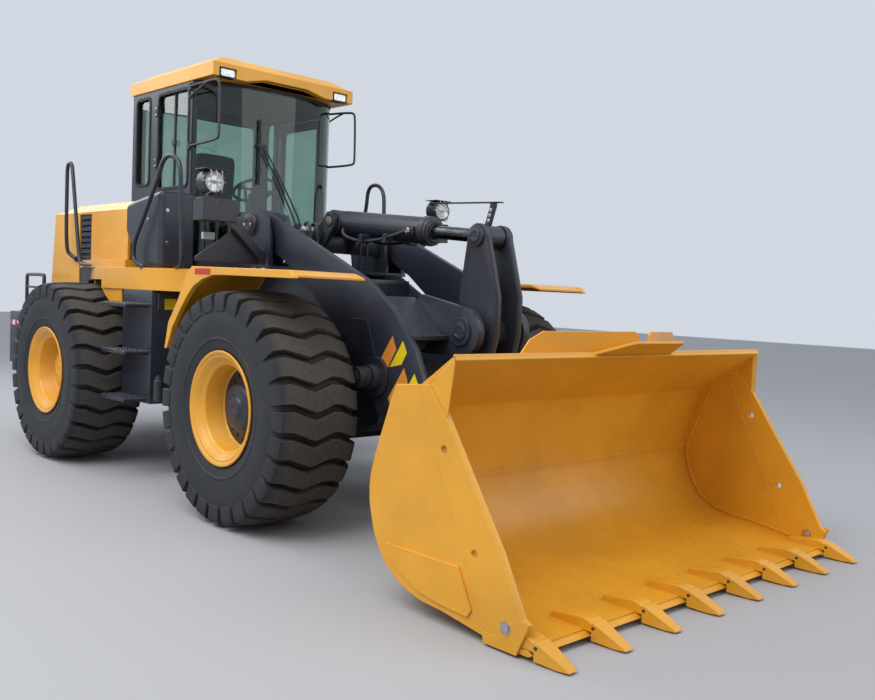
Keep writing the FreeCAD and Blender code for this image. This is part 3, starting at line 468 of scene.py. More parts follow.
def studs(name, places, body, look):
    """Low round anti-slip studs, wider at the foot."""
    verts, faces = [], []
    for point, direction, radius in places:
        start = len(verts)
        for r, h in ((radius, -0.001), (radius * 0.8, 0.004), (radius * 0.5, 0.005)):
            for k in range(10):
                a = 2 * math.pi * k / 10
                verts.append((point[0] + r * math.cos(a), point[1] + r * math.sin(a), point[2] + h))
        for ring in range(2):
            for k in range(10):
                n = (k + 1) % 10
                s = start + 10 * ring
                faces.append((s + k, s + n, s + 10 + n, s + 10 + k))
        faces.append(tuple(start + 20 + k for k in range(10)))
    return new_object(name, mesh_from(name, verts, faces), look, body)


tyre_shape, rim_shape = tyre_mesh(), rim_mesh()
tyre_shape.materials.append(tyre_rubber)
rim_shape.materials.append(yellow_paint)
hub_shapes = {True: hub_mesh(True), False: hub_mesh(False)}
# Front hubs and their wide flanges are dark as painted shade of the deep front dish; the rear hubs stay yellow
hub_shapes[True].materials.append(dark_paint)
hub_shapes[False].materials.append(yellow_paint)
for wheel, (x, side) in WHEELS.items():
    front = "front" in wheel
    turn = Matrix.Rotation(0 if side < 0 else math.pi, 4, "Z")
    place = Matrix.Translation((x, side * TRACK_HALF, WHEEL_Z)) @ turn
    for kind, shape, slot_name in (("tyre", tyre_shape, "tyre_rubber"), ("rim", rim_shape, "yellow_paint"),
                                   ("hub", hub_shapes[front], "dark_paint" if front else "yellow_paint")):
        obj = bpy.data.objects.new(kind + "_look_" + wheel, shape)
        bpy.context.scene.collection.objects.link(obj)
        obj.matrix_world = place
        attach(obj, "wheel_" + wheel)
        if kind == "tyre":
            soften(obj, 0.005, 2, 35)
            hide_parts("tyre_" + wheel)
        elif kind == "rim":
            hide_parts("rim_" + wheel)
    nuts = []
    for k in range(20):
        a = 2 * math.pi * (k + 0.5) / 20
        nuts.append(((x + 0.232 * math.cos(a), side * (TRACK_HALF + 0.068), WHEEL_Z + 0.232 * math.sin(a)), (0, side, 0), 0.016))
    # Front wheel nuts are dark as painted shade of the deep front dish
    hex_bolts("wheel_nuts_" + wheel, nuts, "wheel_" + wheel, yellow_paint if not front else dark_paint)


# Shapes used by the details
def turned(name, profile, centre, axis, look, body, segments=48):
    """Turned piece about an axis; profile is a list of (radius, distance along the axis)."""
    verts, faces = lathe_data([(max(r, 0.0005), h) for r, h in profile], segments)
    turn = Vector((0, 1, 0)).rotation_difference(Vector(axis)).to_matrix()
    verts = [tuple(Vector(centre) + turn @ Vector(v)) for v in verts]
    obj = new_object(name, mesh_from(name, verts, faces), look, body)
    return soften(obj, 0.0015, 2, 30)


def slab(name, outline, axis, low, high, look, body, slot_name, edge=0.003):
    """Flat piece; outline is (y, z) for X, (x, z) for Y and (x, y) for Z."""
    place = {"X": lambda a, b, h: (h, a, b), "Y": lambda a, b, h: (a, h, b), "Z": lambda a, b, h: (a, b, h)}[axis]
    n = len(outline)
    verts = [place(a, b, low) for a, b in outline] + [place(a, b, high) for a, b in outline]
    faces = [tuple(range(n)), tuple(range(n, 2 * n))] + [(i, (i + 1) % n, n + (i + 1) % n, n + i) for i in range(n)]
    obj = new_object(name, mesh_from(name, verts, faces), look, body)
    return soften(obj, edge, 2, 25)


def rounded(a0, a1, b0, b1, r, steps=5):
    points = []
    for ca, cb, start in ((a1 - r, b1 - r, 0), (a0 + r, b1 - r, 90), (a0 + r, b0 + r, 180), (a1 - r, b0 + r, 270)):
        for k in range(steps + 1):
            a = math.radians(start + 90 * k / steps)
            points.append((ca + r * math.cos(a), cb + r * math.sin(a)))
    return points


def seal(name, x0, x1, z0, z1, y0, y1, look, body, width=0.026, r=0.05):
    """Rubber frame with round corners in a plane of constant Y."""
    loops = []
    for grow, y in ((0.012, y0), (0.012, y1), (0.012 - width, y1), (0.012 - width, y0)):
        loops.append([(a, y, b) for a, b in rounded(x0 - grow, x1 + grow, z0 - grow, z1 + grow, max(r + grow, 0.01))])
    n = len(loops[0])
    faces = []
    for k in range(4):
        p, q = k * n, ((k + 1) % 4) * n
        faces += [(p + i, p + (i + 1) % n, q + (i + 1) % n, q + i) for i in range(n)]
    obj = new_object(name, mesh_from(name, sum(loops, []), faces), look, body)
    return soften(obj, 0.003, 2, 40)


def bent_bar(name, points, radius, look, body):
    """Rigid round bar or steel pipe along a smooth line."""
    data = bpy.data.curves.new(name, "CURVE")
    data.dimensions = "3D"
    data.bevel_depth = radius
    data.bevel_resolution = 3
    data.use_fill_caps = True
    data.resolution_u = 6
    spline = data.splines.new("NURBS")
    spline.points.add(len(points) - 1)
    for point, place in zip(spline.points, points):
        point.co = (*place, 1)
    spline.order_u = 3
    spline.use_endpoint_u = True
    data.materials.append(look)
    obj = bpy.data.objects.new(name, data)
    bpy.context.scene.collection.objects.link(obj)
    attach(obj, body)
    return obj


# Forms in millimetres, in the same frame as the CAD. A form is a list of closed shells.
class Form:
    def __init__(self, verts, faces):
        self.verts, self.faces = verts, faces

    def __add__(self, other):
        base = len(self.verts)
        return Form(self.verts + other.verts, self.faces + [tuple(base + i for i in f) for f in other.faces])

    def mirrored(self):
        return Form([(x, -y, z) for x, y, z in self.verts], [f[::-1] for f in self.faces])

    def both(self):
        return self + self.mirrored()

    def side(self, sign):
        return self if sign > 0 else self.mirrored()

    def mesh(self, name="form"):
        mesh = bpy.data.meshes.new(name)
        mesh.from_pydata([(x / 1000, y / 1000, z / 1000) for x, y, z in self.verts], [], self.faces)
        bm = bmesh.new()
        bm.from_mesh(mesh)
        bmesh.ops.recalc_face_normals(bm, faces=bm.faces)
        bm.to_mesh(mesh)
        bm.free()
        return mesh

    def cut(self, *tools, operation="DIFFERENCE"):
        scene_objects = bpy.context.scene.collection.objects
        work = bpy.data.objects.new("work", self.mesh())
        scene_objects.link(work)
        used = [work]
        for tool in tools:
            obj = bpy.data.objects.new("tool", tool.mesh())
            scene_objects.link(obj)
            used.append(obj)
            step = work.modifiers.new("step", "BOOLEAN")
            step.operation, step.solver, step.object = operation, "EXACT", obj
        graph = bpy.context.evaluated_depsgraph_get()
        result = bpy.data.meshes.new_from_object(work.evaluated_get(graph))
        form = Form([tuple(c * 1000 for c in v.co) for v in result.vertices], [tuple(p.vertices) for p in result.polygons])
        for obj in used:
            mesh = obj.data
            bpy.data.objects.remove(obj)
            bpy.data.meshes.remove(mesh)
        bpy.data.meshes.remove(result)
        return form


def prism(outline, axis, low, high):
    """Outline is (y, z) for X, (x, z) for Y and (x, y) for Z."""
    place = {"X": lambda a, b, h: (h, a, b), "Y": lambda a, b, h: (a, h, b), "Z": lambda a, b, h: (a, b, h)}[axis]
    n = len(outline)
    verts = [place(a, b, low) for a, b in outline] + [place(a, b, high) for a, b in outline]
    return Form(verts, [tuple(range(n)), tuple(range(n, 2 * n))[::-1]]
                + [(i, (i + 1) % n, n + (i + 1) % n, n + i) for i in range(n)])


def block(x0, x1, y0, y1, z0, z1):
    return prism([(x0, y0), (x1, y0), (x1, y1), (x0, y1)], "Z", z0, z1)


def disc(centre, axis, low, high, r, sides=40):
    return prism([(centre[0] + r * math.cos(2 * math.pi * k / sides), centre[1] + r * math.sin(2 * math.pi * k / sides))
                  for k in range(sides)], axis, low, high)


def beside(points, distance):
    """An open line of points moved sideways, to the left of its direction."""
    normals = []
    for (x0, z0), (x1, z1) in zip(points, points[1:]):
        span = math.hypot(x1 - x0, z1 - z0)
        normals.append(((z0 - z1) / span, (x1 - x0) / span))
    moved = []
    for k, (x, z) in enumerate(points):
        a, b = normals[max(k - 1, 0)], normals[min(k, len(normals) - 1)]
        scale = distance / (1.0 + a[0] * b[0] + a[1] * b[1])
        moved.append((x + (a[0] + b[0]) * scale, z + (a[1] + b[1]) * scale))
    return moved


def piece(name, form, look, body, replaced=(), edge=0.004):
    mesh = form.mesh(name)
    mesh.polygons.foreach_set("use_smooth", [True] * len(mesh.polygons))
    obj = new_object(name, mesh, look, body)
    if edge:
        weld = obj.modifiers.new("weld", "WELD")
        weld.merge_threshold = 0.00002
        soften(obj, edge)
    else:
        mesh.polygons.foreach_set("use_smooth", [False] * len(mesh.polygons))
    if replaced:
        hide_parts(*replaced)
    return obj


AR, AF = -2050.0, 950.0


def rear(points):
    return [(AR + x, z) for x, z in points]


def front(points):
    return [(AF + x, z) for x, z in points]


# Bucket
BUCKET_SIDE = [(2123, 1160), (1864, 1138), (1829, 1069), (1799, 980), (1753, 859), (1714, 748), (1687, 650),
               (1682, 579), (1686, 509), (1706, 431), (1735, 343), (1779, 270), (1837, 202), (1928, 144),
               (2015, 110), (2116, 86), (2261, 76), (2384, 59), (2546, 36), (2760, 34), (2813, 158),
               (2776, 179), (2632, 445), (2478, 669), (2246, 1012)]
BUCKET_SKIN = [(1855, 1030), (1812, 976), (1766, 855), (1727, 744), (1700, 647), (1695, 579), (1699, 512),
               (1718, 435), (1746, 349), (1789, 279), (1845, 213), (1933, 156), (2018, 122), (2118, 98),
               (2262, 86), (2390, 66), (2560, 34), (2800, 30)]
SIDE_STRIP = [(2040, 1153), (2148, 891), (2306, 584), (2461, 247), (2551, 70), (2640, 70), (2660, 140),
              (2780, 172), (2632, 445), (2478, 669), (2246, 1012), (2123, 1160)]
HEEL_PLATE = [(1847, 323), (1872, 262), (1960, 190), (2097, 131), (2259, 108), (2441, 99), (2465, 138), (2368, 322)]
CORNER_PLATE = [(2547, 12), (2753, 12), (2824, 170), (2806, 180), (2660, 140), (2640, 70), (2547, 70)]
TOOTH_SIDE = [(2598, 51), (2596, 84), (2606, 92), (2700, 103), (2780, 111), (2824, 105), (2840, 94), (2848, 102),
              (3018, 24), (3030, 9), (2960, 4), (2840, 10), (2840, 51)]
BUCKET_PIN, LINK_EYE = (2450, 330), (2540, 640)


def bucket_forms():
    holes = [disc(c, "Y", 1430, 1520, 20, 24) for c in front([(2240, 858), (2470, 405)])]
    skin = front(BUCKET_SKIN)
    side = prism(front(BUCKET_SIDE), "Y", 1456, 1486).cut(*holes)
    form = prism(skin + beside(skin, 30)[::-1], "Y", -1460, 1460) + side.both()
    form += prism(front([(1855, 1030), (1872, 1004), (2268, 1290), (2257, 1316)]), "Y", -1462, 1462)
    form += prism(front([(2600, 20), (2812, 20), (2836, 32), (2812, 50), (2600, 50)]), "Y", -1484, 1484)
    corner = [(3212, 1462, 1312), (3073, 1490, 1162), (3198, 1490, 1008)]
    corner += [(x - 20, y - 26, z - 4) for x, y, z in corner]
    form += Form(corner, [(0, 1, 2), (5, 4, 3), (0, 3, 4, 1), (1, 4, 5, 2), (2, 5, 3, 0)]).both()
    form += prism([(2930, 1110), (3073, 1130), (3073, 1162), (3207, 1312), (2985, 1162)], "Y", 1436, 1460).both()
    inside = prism(beside(skin, 15) + [(3750, 1030)], "Y", -1508, 1508)
    for y in (470, 623):
        ear = prism([(2370, 390), (2370, 270), (2450, 230), (2850, 200), (2670, 520), (2670, 700), (2590, 640)], "Y", y, y + 40)
        form += (ear.cut(inside) + disc(BUCKET_PIN, "Y", y, y + 40, 104).cut(inside)).both()
    ear = prism([(2450, 690), (2450, 590), (2510, 530), (2670, 540), (2740, 900), (2560, 750)], "Y", 80, 120)
    form += ear.cut(inside).both() + disc(LINK_EYE, "Y", -135, 135, 45) + disc(BUCKET_PIN, "Y", 470, 663, 45).both()
    plates = prism(front(SIDE_STRIP), "Y", 1485, 1496).cut(*holes)
    plates += prism(front(HEEL_PLATE), "Y", 1485, 1497) + prism(front(CORNER_PLATE), "Y", 1485, 1498)
    return form, plates.both()


bucket_form, plate_form = bucket_forms()
bucket_piece = piece("bucket_look", bucket_form, bucket_paint, "bucket_body", ("bucket",))
piece("bucket_wear_plates", plate_form, bucket_paint, "bucket_body", (), 0.003)
teeth = Form([], [])
for k in range(8):
    y = -1436.0 + 2872.0 * k / 7
    tooth = prism(front(TOOTH_SIDE), "Y", -47.5, 47.5)
    tooth.verts = [(vx, y + vy * (1.0 - 0.36 * max(0.0, (vx - AF - 2850) / 180.0)), vz) for vx, vy, vz in tooth.verts]
    teeth += tooth
piece("bucket_teeth_look", teeth, bucket_paint, "bucket_body", ("bucket_teeth",), 0.006)
WING = [(2030, 775, 1150), (2037, 760, 1291), (2057, 708, 1374), (2086, 631, 1423), (2301, 74, 1435),
        (2310, 51, 1416), (2311, 49, 1352), (2257, 190, 1310)]
ahead = Vector((711, 274, 0)).normalized()
wing_back = []
for x, y, z in WING:
    drift = (x - 2030) * ahead.x + (y - 775) * ahead.y
    wing_back.append((AF + x - drift * ahead.x, y - drift * ahead.y, z))
n = len(wing_back)
wing = Form(wing_back + [(x + ahead.x * 16, y + ahead.y * 16, z) for x, y, z in wing_back],
            [tuple(range(n)), tuple(range(n, 2 * n))[::-1]] + [(i, (i + 1) % n, n + (i + 1) % n, n + i) for i in range(n)])
tongue_low = [(3200, -390, 1312), (3200, 390, 1312), (3385, 240, 1388), (3385, -240, 1388)]
tongue = Form(tongue_low + [(x + 6, y, z - 15) for x, y, z in tongue_low],
              [(0, 1, 2, 3), (7, 6, 5, 4), (0, 4, 5, 1), (1, 5, 6, 2), (2, 6, 7, 3), (3, 7, 4, 0)])
lip_bar = prism([(3190, 1316), (3200, 1315), (3226, 1290), (3220, 1282), (3190, 1296)], "Y", -1462, 1462)
piece("bucket_lip_bar", lip_bar, bucket_paint, "bucket_body", (), 0.004)
piece("spill_guard_look", wing.both() + tongue, bucket_paint, "bucket_body", ("spill_guard",), 0.003)

# Hood with the louvred vent columns in its sides
ROOF = [(-1500, 2200), (-1250, 2240), (-720, 2320), (145, 2320)]
hood_form = prism(rear(ROOF + [(145, 1720), (-620, 1720), (-620, 1500), (-1500, 1500)]), "Y", -850, 850)
section = prism([(-850, 1400), (850, 1400), (850, 2250), (790, 2321), (-790, 2321), (-850, 2250)], "X", AR - 1501, AR + 146)
hood_form = hood_form.cut(section, operation="INTERSECT")


def tapered(inset):
    """Plan of the hood as a solid: the sides lean in towards the rear."""
    low = [(150, 850), (-1325, 850), (-1510, 696), (-1510, -696), (-1325, -850), (150, -850)]
    high = [(150, 850), (-1205, 850), (-1510, 696), (-1510, -696), (-1205, -850), (150, -850)]
    layers = [(AR + x, y - math.copysign(inset, y), z) for plan, z in ((low, 1390), (high, 2330)) for x, y in plan]
    n = len(low)
    return Form(layers, [tuple(range(n)), tuple(range(n, 2 * n))[::-1]] + [(i, n + i, n + (i + 1) % n, (i + 1) % n) for i in range(n)])


hood_form = hood_form.cut(tapered(0), operation="INTERSECT")
room = prism(rear([(-1501, 2175)] + [(x, z - 25) for x, z in ROOF] + [(146, 2295), (146, 1399), (-1501, 1399)]), "Y", -825, 825)
slots = [block(AR - 620, AR - 345, s * 830 - 21, s * 830 + 21, 1400, 2230) for s in (-1, 1)]
inner = prism([(-825, 1390), (825, 1390), (825, 2237), (776, 2296), (-776, 2296), (-825, 2237)], "X", AR - 1502, AR + 147)
room = room.cut(inner, operation="INTERSECT").cut(tapered(25), operation="INTERSECT")
hood_form = hood_form.cut(room, *slots)
hood_form += prism([(825, 1720), (850, 1720), (850, 2250), (790, 2320), (702, 2320), (702, 2295), (777, 2295), (825, 2238)],
                   "X", AR + 145, AR + 430).both()
piece("hood_look", hood_form, yellow_paint, "rear_body", ("hood",))
column = block(AR - 617, AR - 348, 780, 840, 1500, 2225)
column = column.cut(*[block(AR - 587, AR - 378, 812, 841, 1780 + 54 * k, 1806 + 54 * k) for k in range(8)],
                    block(AR - 420, AR - 347, 770, 841, 1480, 1600))
for k in range(8):
    z = 1780 + 54 * k
    column += prism([(812, z + 24), (838, z + 6), (838, z + 9), (812, z + 27)], "X", AR - 587, AR - 378)
column += block(AR - 500, AR - 440, 465, 830, 1460, 1500)
piece("vent_look", column.both(), dark_paint, "rear_body", ("vent_column",), 0.002)
PLAN = [(-1500, -700), (-1500, 700), (-1780, 580), (-1780, -580)]
grille = prism([(AR + x, y) for x, y in PLAN], "Z", 1250, 2200)
grille = grille.cut(prism([(AR - 1499, -672), (AR - 1499, 672), (AR - 1752, 562), (AR - 1752, -562)], "Z", 1249, 2170),
                    prism(rear([(-1790, 2130), (-1790, 2201), (-1600, 2201)]), "Y", -860, 860),
                    *[block(AR - 1790, AR - 1740, -540, 540, 1400 + 80 * k, 1440 + 80 * k) for k in range(9)])
piece("grille_look", grille, yellow_paint, "rear_body", ("rear_grille",))

# Walkways, tank cover
for side_name, side in (("right", -1), ("left", 1)):
    deck = prism([(AR + x, y) for x, y in ((-338, 730), (-338, 850), (330, 1080), (1550, 1080), (1830, 950), (1790, 915),
                                           (1440, 730))], "Z", 1540, 1720)
    deck = deck.cut(prism([(AR + x, y) for x, y in ((-318, 729), (-318, 836), (333, 1060), (1545, 1060), (1762, 958),
                                                    (1480, 760), (1430, 729))], "Z", 1539, 1695),
                    block(AR - 400, AR + 420, 817.5, 1422.5, 1539, 1612))
    top = 1790 if side < 0 else 1752
    deck += prism([(AR - 590, 851), (AR - 338, 935), (AR + 140, 1005), (AR + 715, 1005), (AR + 715, 851)], "Z", 1720, top)
    deck += prism(rear([(390, 1541), (793, 1541), (793, 1427), (550, 1427), (450, 1492)]), "Y", 1052, 1064)
    piece("walkway_" + side_name, deck.side(side), yellow_paint, "rear_body", ("platform_" + side_name,))
cover = prism([(AR + x, z) for x, z in ((730, 2262), (900, 2292), (1150, 2326), (1290, 2345), (1370, 2352), (1370, 1720), (900, 1720), (860, 1880), (730, 2030))],
              "Y", -1020, -706)
cover_piece = piece("tank_cover_look", cover, dark_paint, "rear_body", ("tank_cover",), 0.045)
cover_piece.modifiers["edge"].segments = 6
cover_piece.modifiers["edge"].angle_limit = math.radians(60)

# Cab: posts round the windows, roof, curved windshield, panes
WINDOWS = {"right_front": (-1, 655, 1195, 2420), "right_rear": (-1, 240, 500, 2470), "left_rear": (1, 240, 410, 2316)}
shell = block(AR + 160, AR + 1250, -700, 700, 1756, 3290)
openings = [block(AR + 210, AR + 1251, -650, 650, 1755, 3291), block(AR + 480, AR + 1190, 649, 701, 1755, 3200),
            block(AR + 159, AR + 211, -590, 590, 2256, 3200)]
for side, xa, xb, sill in WINDOWS.values():
    openings.append(block(AR + xa, AR + xb, side * 675 - 26, side * 675 + 26, sill, 3240))
shell = shell.cut(*openings)
for z in (2100, 2900):
    shell += disc((-1560, 722), "Z", z - 56, z + 56, 9, 24)
    for z0 in (z - 56, z + 40):
        shell += disc((-1560, 722), "Z", z0, z0 + 16, 17, 24) + block(-1620, -1560, 699, 732, z0, z0 + 16)
piece("cab_posts", shell, dark_paint, "rear_body", ("cab_frame",))
for name, (side, xa, xb, sill) in WINDOWS.items():
    pane = block(AR + xa, AR + xb, side * 675 - 5, side * 675 + 5, sill, 3240)
    piece("pane_" + name, pane, cab_glass, "rear_body", ("cab_glass_" + name,), 0)
xa, xb = AR + 90, AR + 1590
roof_form = prism([(xa, 3345), (AR + 150, 3290), (xb, 3290), (xb, 3405), (xa + 30, 3405), (xa, 3365)], "Y", -710, 710)
notches = [block(xb - 70, xb + 1, min(s * 490, s * 650), max(s * 490, s * 650), 3289, 3365) for s in (-1, 1)]
arch = prism([(-400, 3289), (-210, 3332), (210, 3332), (400, 3289)], "X", xb - 60, xb + 1)
roof_form = roof_form.cut(*notches, arch)
low = [(xa + 50, -700, 3398), (xb - 4, -704, 3398), (xb - 4, 704, 3398), (xa + 50, 700, 3398)]
high = [(xa + 200, -570, 3480), (xb - 130, -570, 3480), (xb - 130, 570, 3480), (xa + 200, 570, 3480)]
roof_form += Form(low + high, [(3, 2, 1, 0), (4, 5, 6, 7), (0, 1, 5, 4), (1, 2, 6, 5), (2, 3, 7, 6), (3, 0, 4, 7)])
piece("roof_look", roof_form, yellow_paint, "rear_body", ("cab_roof",), 0.006)
GLASS_PLAN = [(1250, 700), (1300, 674), (1340, 642), (1380, 592), (1415, 528), (1443, 448), (1465, 350), (1481, 262),
              (1492, 175), (1498, 88), (1500, 0)]
outer = [(AR + x, y) for x, y in GLASS_PLAN]
outer += [(x, -y) for x, y in outer[-2::-1]]
inner = beside(outer, -9)
inner[0], inner[-1] = (AR + 1250, 686), (AR + 1250, -686)
glass = piece("windshield_look", prism(outer + inner[::-1], "Z", 1757, 3289), cab_glass, "rear_body",
              ("windshield",), 0)
glass.data.polygons.foreach_set("use_smooth", [True] * len(glass.data.polygons))
glass.data.set_sharp_from_angle(angle=math.radians(35))
for k, (z0, z1) in enumerate(((1757, 1800), (3262, 3289))):
    rim_line = [(AR + x + 6, y) for x, y in GLASS_PLAN]
    rim_line += [(x, -y) for x, y in rim_line[-2::-1]]
    piece(f"glass_rim_{k}", prism(rim_line + beside(rim_line, -20)[::-1], "Z", z0, z1), black_rubber, "rear_body",
          (), 0.002)

# Hand rails and guard rails
LOOPS = {
    "right": [(1180, 20, 1728), (1090, 12, 1752), (1022, 5, 1790), (1018, 5, 1850), (1033, 5, 1935), (1065, 6, 1980),
              (1330, 14, 2345), (1380, 18, 2420)],
    "left": [(1320, 20, 1728), (1272, 10, 1752), (1252, 5, 1800), (1252, 5, 1850), (1256, 5, 1935), (1275, 6, 1990),
             (1385, 14, 2340), (1410, 18, 2420)],
}
LOOP_END = [(1432, 28, 2545), (1480, 34, 2595), (1545, 40, 2606), (1620, 44, 2590), (1680, 48, 2540), (1702, 50, 2470),
            (1706, 50, 2400), (1742, 55, 1850), (1744, 55, 1790), (1725, 62, 1752), (1660, 80, 1728)]
REAR_LOOP = [(-640, 26, 1805), (-690, 60, 1840), (-700, 100, 1900), (-700, 100, 2600), (-698, 100, 2660), (-680, 100, 2705),
             (-635, 100, 2722), (-592, 100, 2700), (-575, 100, 2650), (-560, 100, 2590), (-400, 100, 1890),
             (-380, 100, 1810), (-345, 100, 1760), (-290, 102, 1745), (60, 120, 1738)]
for side_name, side in (("right", -1), ("left", 1)):
    loop = [((AR + x) / 1000, side * (1080 - inset) / 1000, z / 1000) for x, inset, z in LOOPS[side_name] + LOOP_END]
    rail = bent_bar("hand_rail_" + side_name, loop, 0.018, dark_paint, "rear_body")
    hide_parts("hand_rails_" + side_name)
    bent_bar("rear_rail_" + side_name, [((AR + x) / 1000, side * (850 + out) / 1000, z / 1000) for x, out, z in REAR_LOOP],
             0.018, dark_paint, "rear_body")
    feet = Form([], [])
    for x, inset, z in (LOOPS[side_name][0], LOOP_END[-1]):
        feet += disc((AR + x, side * (1080 - inset)), "Z", 1719, 1732, 40)
    feet += block(AR - 675, AR - 625, 849, 876, 1775, 1830).side(side)
    piece("rail_feet_" + side_name, feet, dark_paint, "rear_body", (), 0.004)
    guard = [(-1100, 1000, 1250), (-1100, 1000, 1590), (-1104, 1000, 1632), (-1150, 994, 1640), (-1790, 906, 1640),
             (-1836, 900, 1632), (-1840, 900, 1590), (-1840, 900, 1250)]
    loop = bent_bar("guard_rail_" + side_name, [((AR + x) / 1000, side * y / 1000, z / 1000) for x, y, z in guard], 0.018,
                    dark_paint, "rear_body")
    if side < 0:
        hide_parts("guard_rails")
    for k, z in enumerate((1.380, 1.510)):
        bent_bar(f"guard_bar_{side_name}_{k}", [(-3.150, side * 1.000, z), (-3.500, side * 0.953, z), (-3.890, side * 0.900, z)],
                 0.012, dark_paint, "rear_body")

# Front fenders and headlamps
FENDER_OUTER = [(-775, 1135), (-726, 1326), (-595, 1490), (-478, 1673), (-410, 1724), (758, 1708), (800, 1668)]
FENDER_ARCH = [(800, 1658), (-20, 1668), (-134, 1666), (-267, 1636), (-385, 1587), (-470, 1515), (-545, 1437),
               (-666, 1290), (-742, 1140)]
SHEET = [(-755, 1146), (-690, 1330), (-600, 1500), (-430, 1640), (-340, 1710), (700, 1710), (798, 1680), (798, 1664),
         (700, 1690), (-330, 1690), (-416, 1626), (-582, 1490), (-670, 1324), (-735, 1142)]
for side_name, side in (("right", -1), ("left", 1)):
    fender = prism(front(SHEET), "Y", 850, 1362) + prism(front(FENDER_OUTER + FENDER_ARCH), "Y", 1360, 1400)
    fender += block(150, 235, 500, 840, 1400, 1440)
    fender += prism(front([(-800, 1400), (-715, 1400), (-590, 1440), (-420, 1600), (-330, 1695), (-345, 1700), (-432, 1636),
                           (-600, 1500), (-690, 1460), (-800, 1440)]), "Y", 838, 852)
    piece("fender_look_" + side_name, fender.side(side), yellow_paint, "front_body", ("fender_" + side_name,))
    lamp = block(190, 340, 936, 1211, 2064, 2226)
    lamp += prism([(680, 1770), (680, 1850), (926, 2064), (1006, 2064)], "X", 284, 330)
    lamp += prism([(690, 1772), (1236, 1772), (1236, 1800), (956, 1995), (956, 2064), (936, 2064)], "X", 274, 284)
    lamp += block(250, 300, 1101, 1151, 2225, 2280) + block(220, 360, 1031, 1221, 2424, 2430)
    lamp += disc((1126, 2340), "X", 220, 330, 85, 48)
    piece("headlamp_look_" + side_name, lamp.side(side), dark_paint, "front_body", ("headlamp_" + side_name,), 0.004)

# Cylinder rods: bright bars with dark eyes, and the level bar on the tilt rod
def rod(name, start, end, r, y, body, node=None):
    span = Vector(end) - Vector(start)
    obj = turned(name, [(r, 0.0), (r, span.length)], Vector(start) + Vector((0, y, 0)), span.normalized(), rod_chrome, body)
    if node:
        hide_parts(node)


rod("tilt_rod_look", Vector((0.397, 0, 2.139)) + 0.640 * Vector((1.613, 0, -0.139)).normalized(), (2.010, 0, 2.000), 0.047,
    0.0, "tilt_piston", "tilt_rod")
eye = disc((2010, 2000), "Y", -68, 68, 75, 48) + disc((2010, 2000), "Y", -72, 72, 38, 32)
eye += prism([(1958, 2060), (1998, 2060), (2046, 2205), (2046, 2226), (2006, 2226), (2006, 2205)], "Y", -16, 16)
eye += prism([(1420, 2246), (1420, 2254), (2100, 2232), (2100, 2224)], "Y", -24, 24)
piece("tilt_eye_look", eye, dark_paint, "tilt_piston", (), 0.003)
lift_start = Vector((0.250, 0, 1.250)) + 0.130 * Vector((1.340, 0, -0.210)).normalized()
for side_name, side in (("right", -1), ("left", 1)):
    rod("lift_rod_" + side_name, lift_start, (1.590, 0, 1.040), 0.040, side * 0.735, "lift_pistons",
        "lift_rods" if side < 0 else None)
    eye = disc((1590, 1040), "Y", side * 735 - 46, side * 735 + 46, 70, 40) + disc((1590, 1040), "Y", side * 735 - 48, side * 735 + 48, 38, 24)
    piece("lift_eye_" + side_name, eye, dark_paint, "lift_pistons", (), 0.004)

# Round ends of the linkage plates, fitted over the solids, and the sloped cover of the cross tube
cover = prism([(1500, 1575), (1560, 1575), (1850, 1335), (1905, 1332), (1905, 1298), (1835, 1300), (1490, 1556)], "Y", 249, 551)
piece("cross_cover", cover.both(), dark_paint, "boom_arms", (), 0.008)
extra = disc((1590, 1040), "Y", 598, 624, 135, 48).both() + disc((2020, 1363), "Y", 245, 268, 95, 40).both()
piece("boom_bosses", extra, dark_paint, "boom_arms")
extra = disc((2010, 2000), "Y", 81, 131, 84, 40).both() + disc((1960, 700), "Y", 81, 131, 92, 40).both()
piece("rocker_ends", extra, dark_paint, "rocker_arm")


BOTH = (("right", -1), ("left", 1))

# Boom stripes and doubler plates
ORANGE = [(1.743, 1.320), (1.785, 1.232), (1.653, 1.022), (1.596, 1.109)]
LEMON = [(1.846, 1.292), (1.890, 1.219), (1.842, 1.138), (1.725, 1.113)]
for side_name, side in BOTH:
    for k, (dx, dz) in enumerate(((0.0, 0.0), (0.124, -0.201))):
        for tint, shape, look in (("orange", ORANGE, stripe_orange), ("lemon", LEMON, stripe_yellow)):
            shift = [(x + dx, z + dz) for x, z in shape]
            slab(f"stripe_{tint}_{side_name}_{k}", shift, "Y", *sorted((side * 0.5995, side * 0.6012)), look,
                 "boom_arms", "yellow_paint", 0.0004)
    slab("boom_doubler_" + side_name, [(1.335, 1.415), (1.475, 1.420), (1.580, 1.180), (1.500, 1.130), (1.430, 1.200)],
         "Y", *sorted((side * 0.598, side * 0.608)), dark_paint, "boom_arms", "dark_paint")
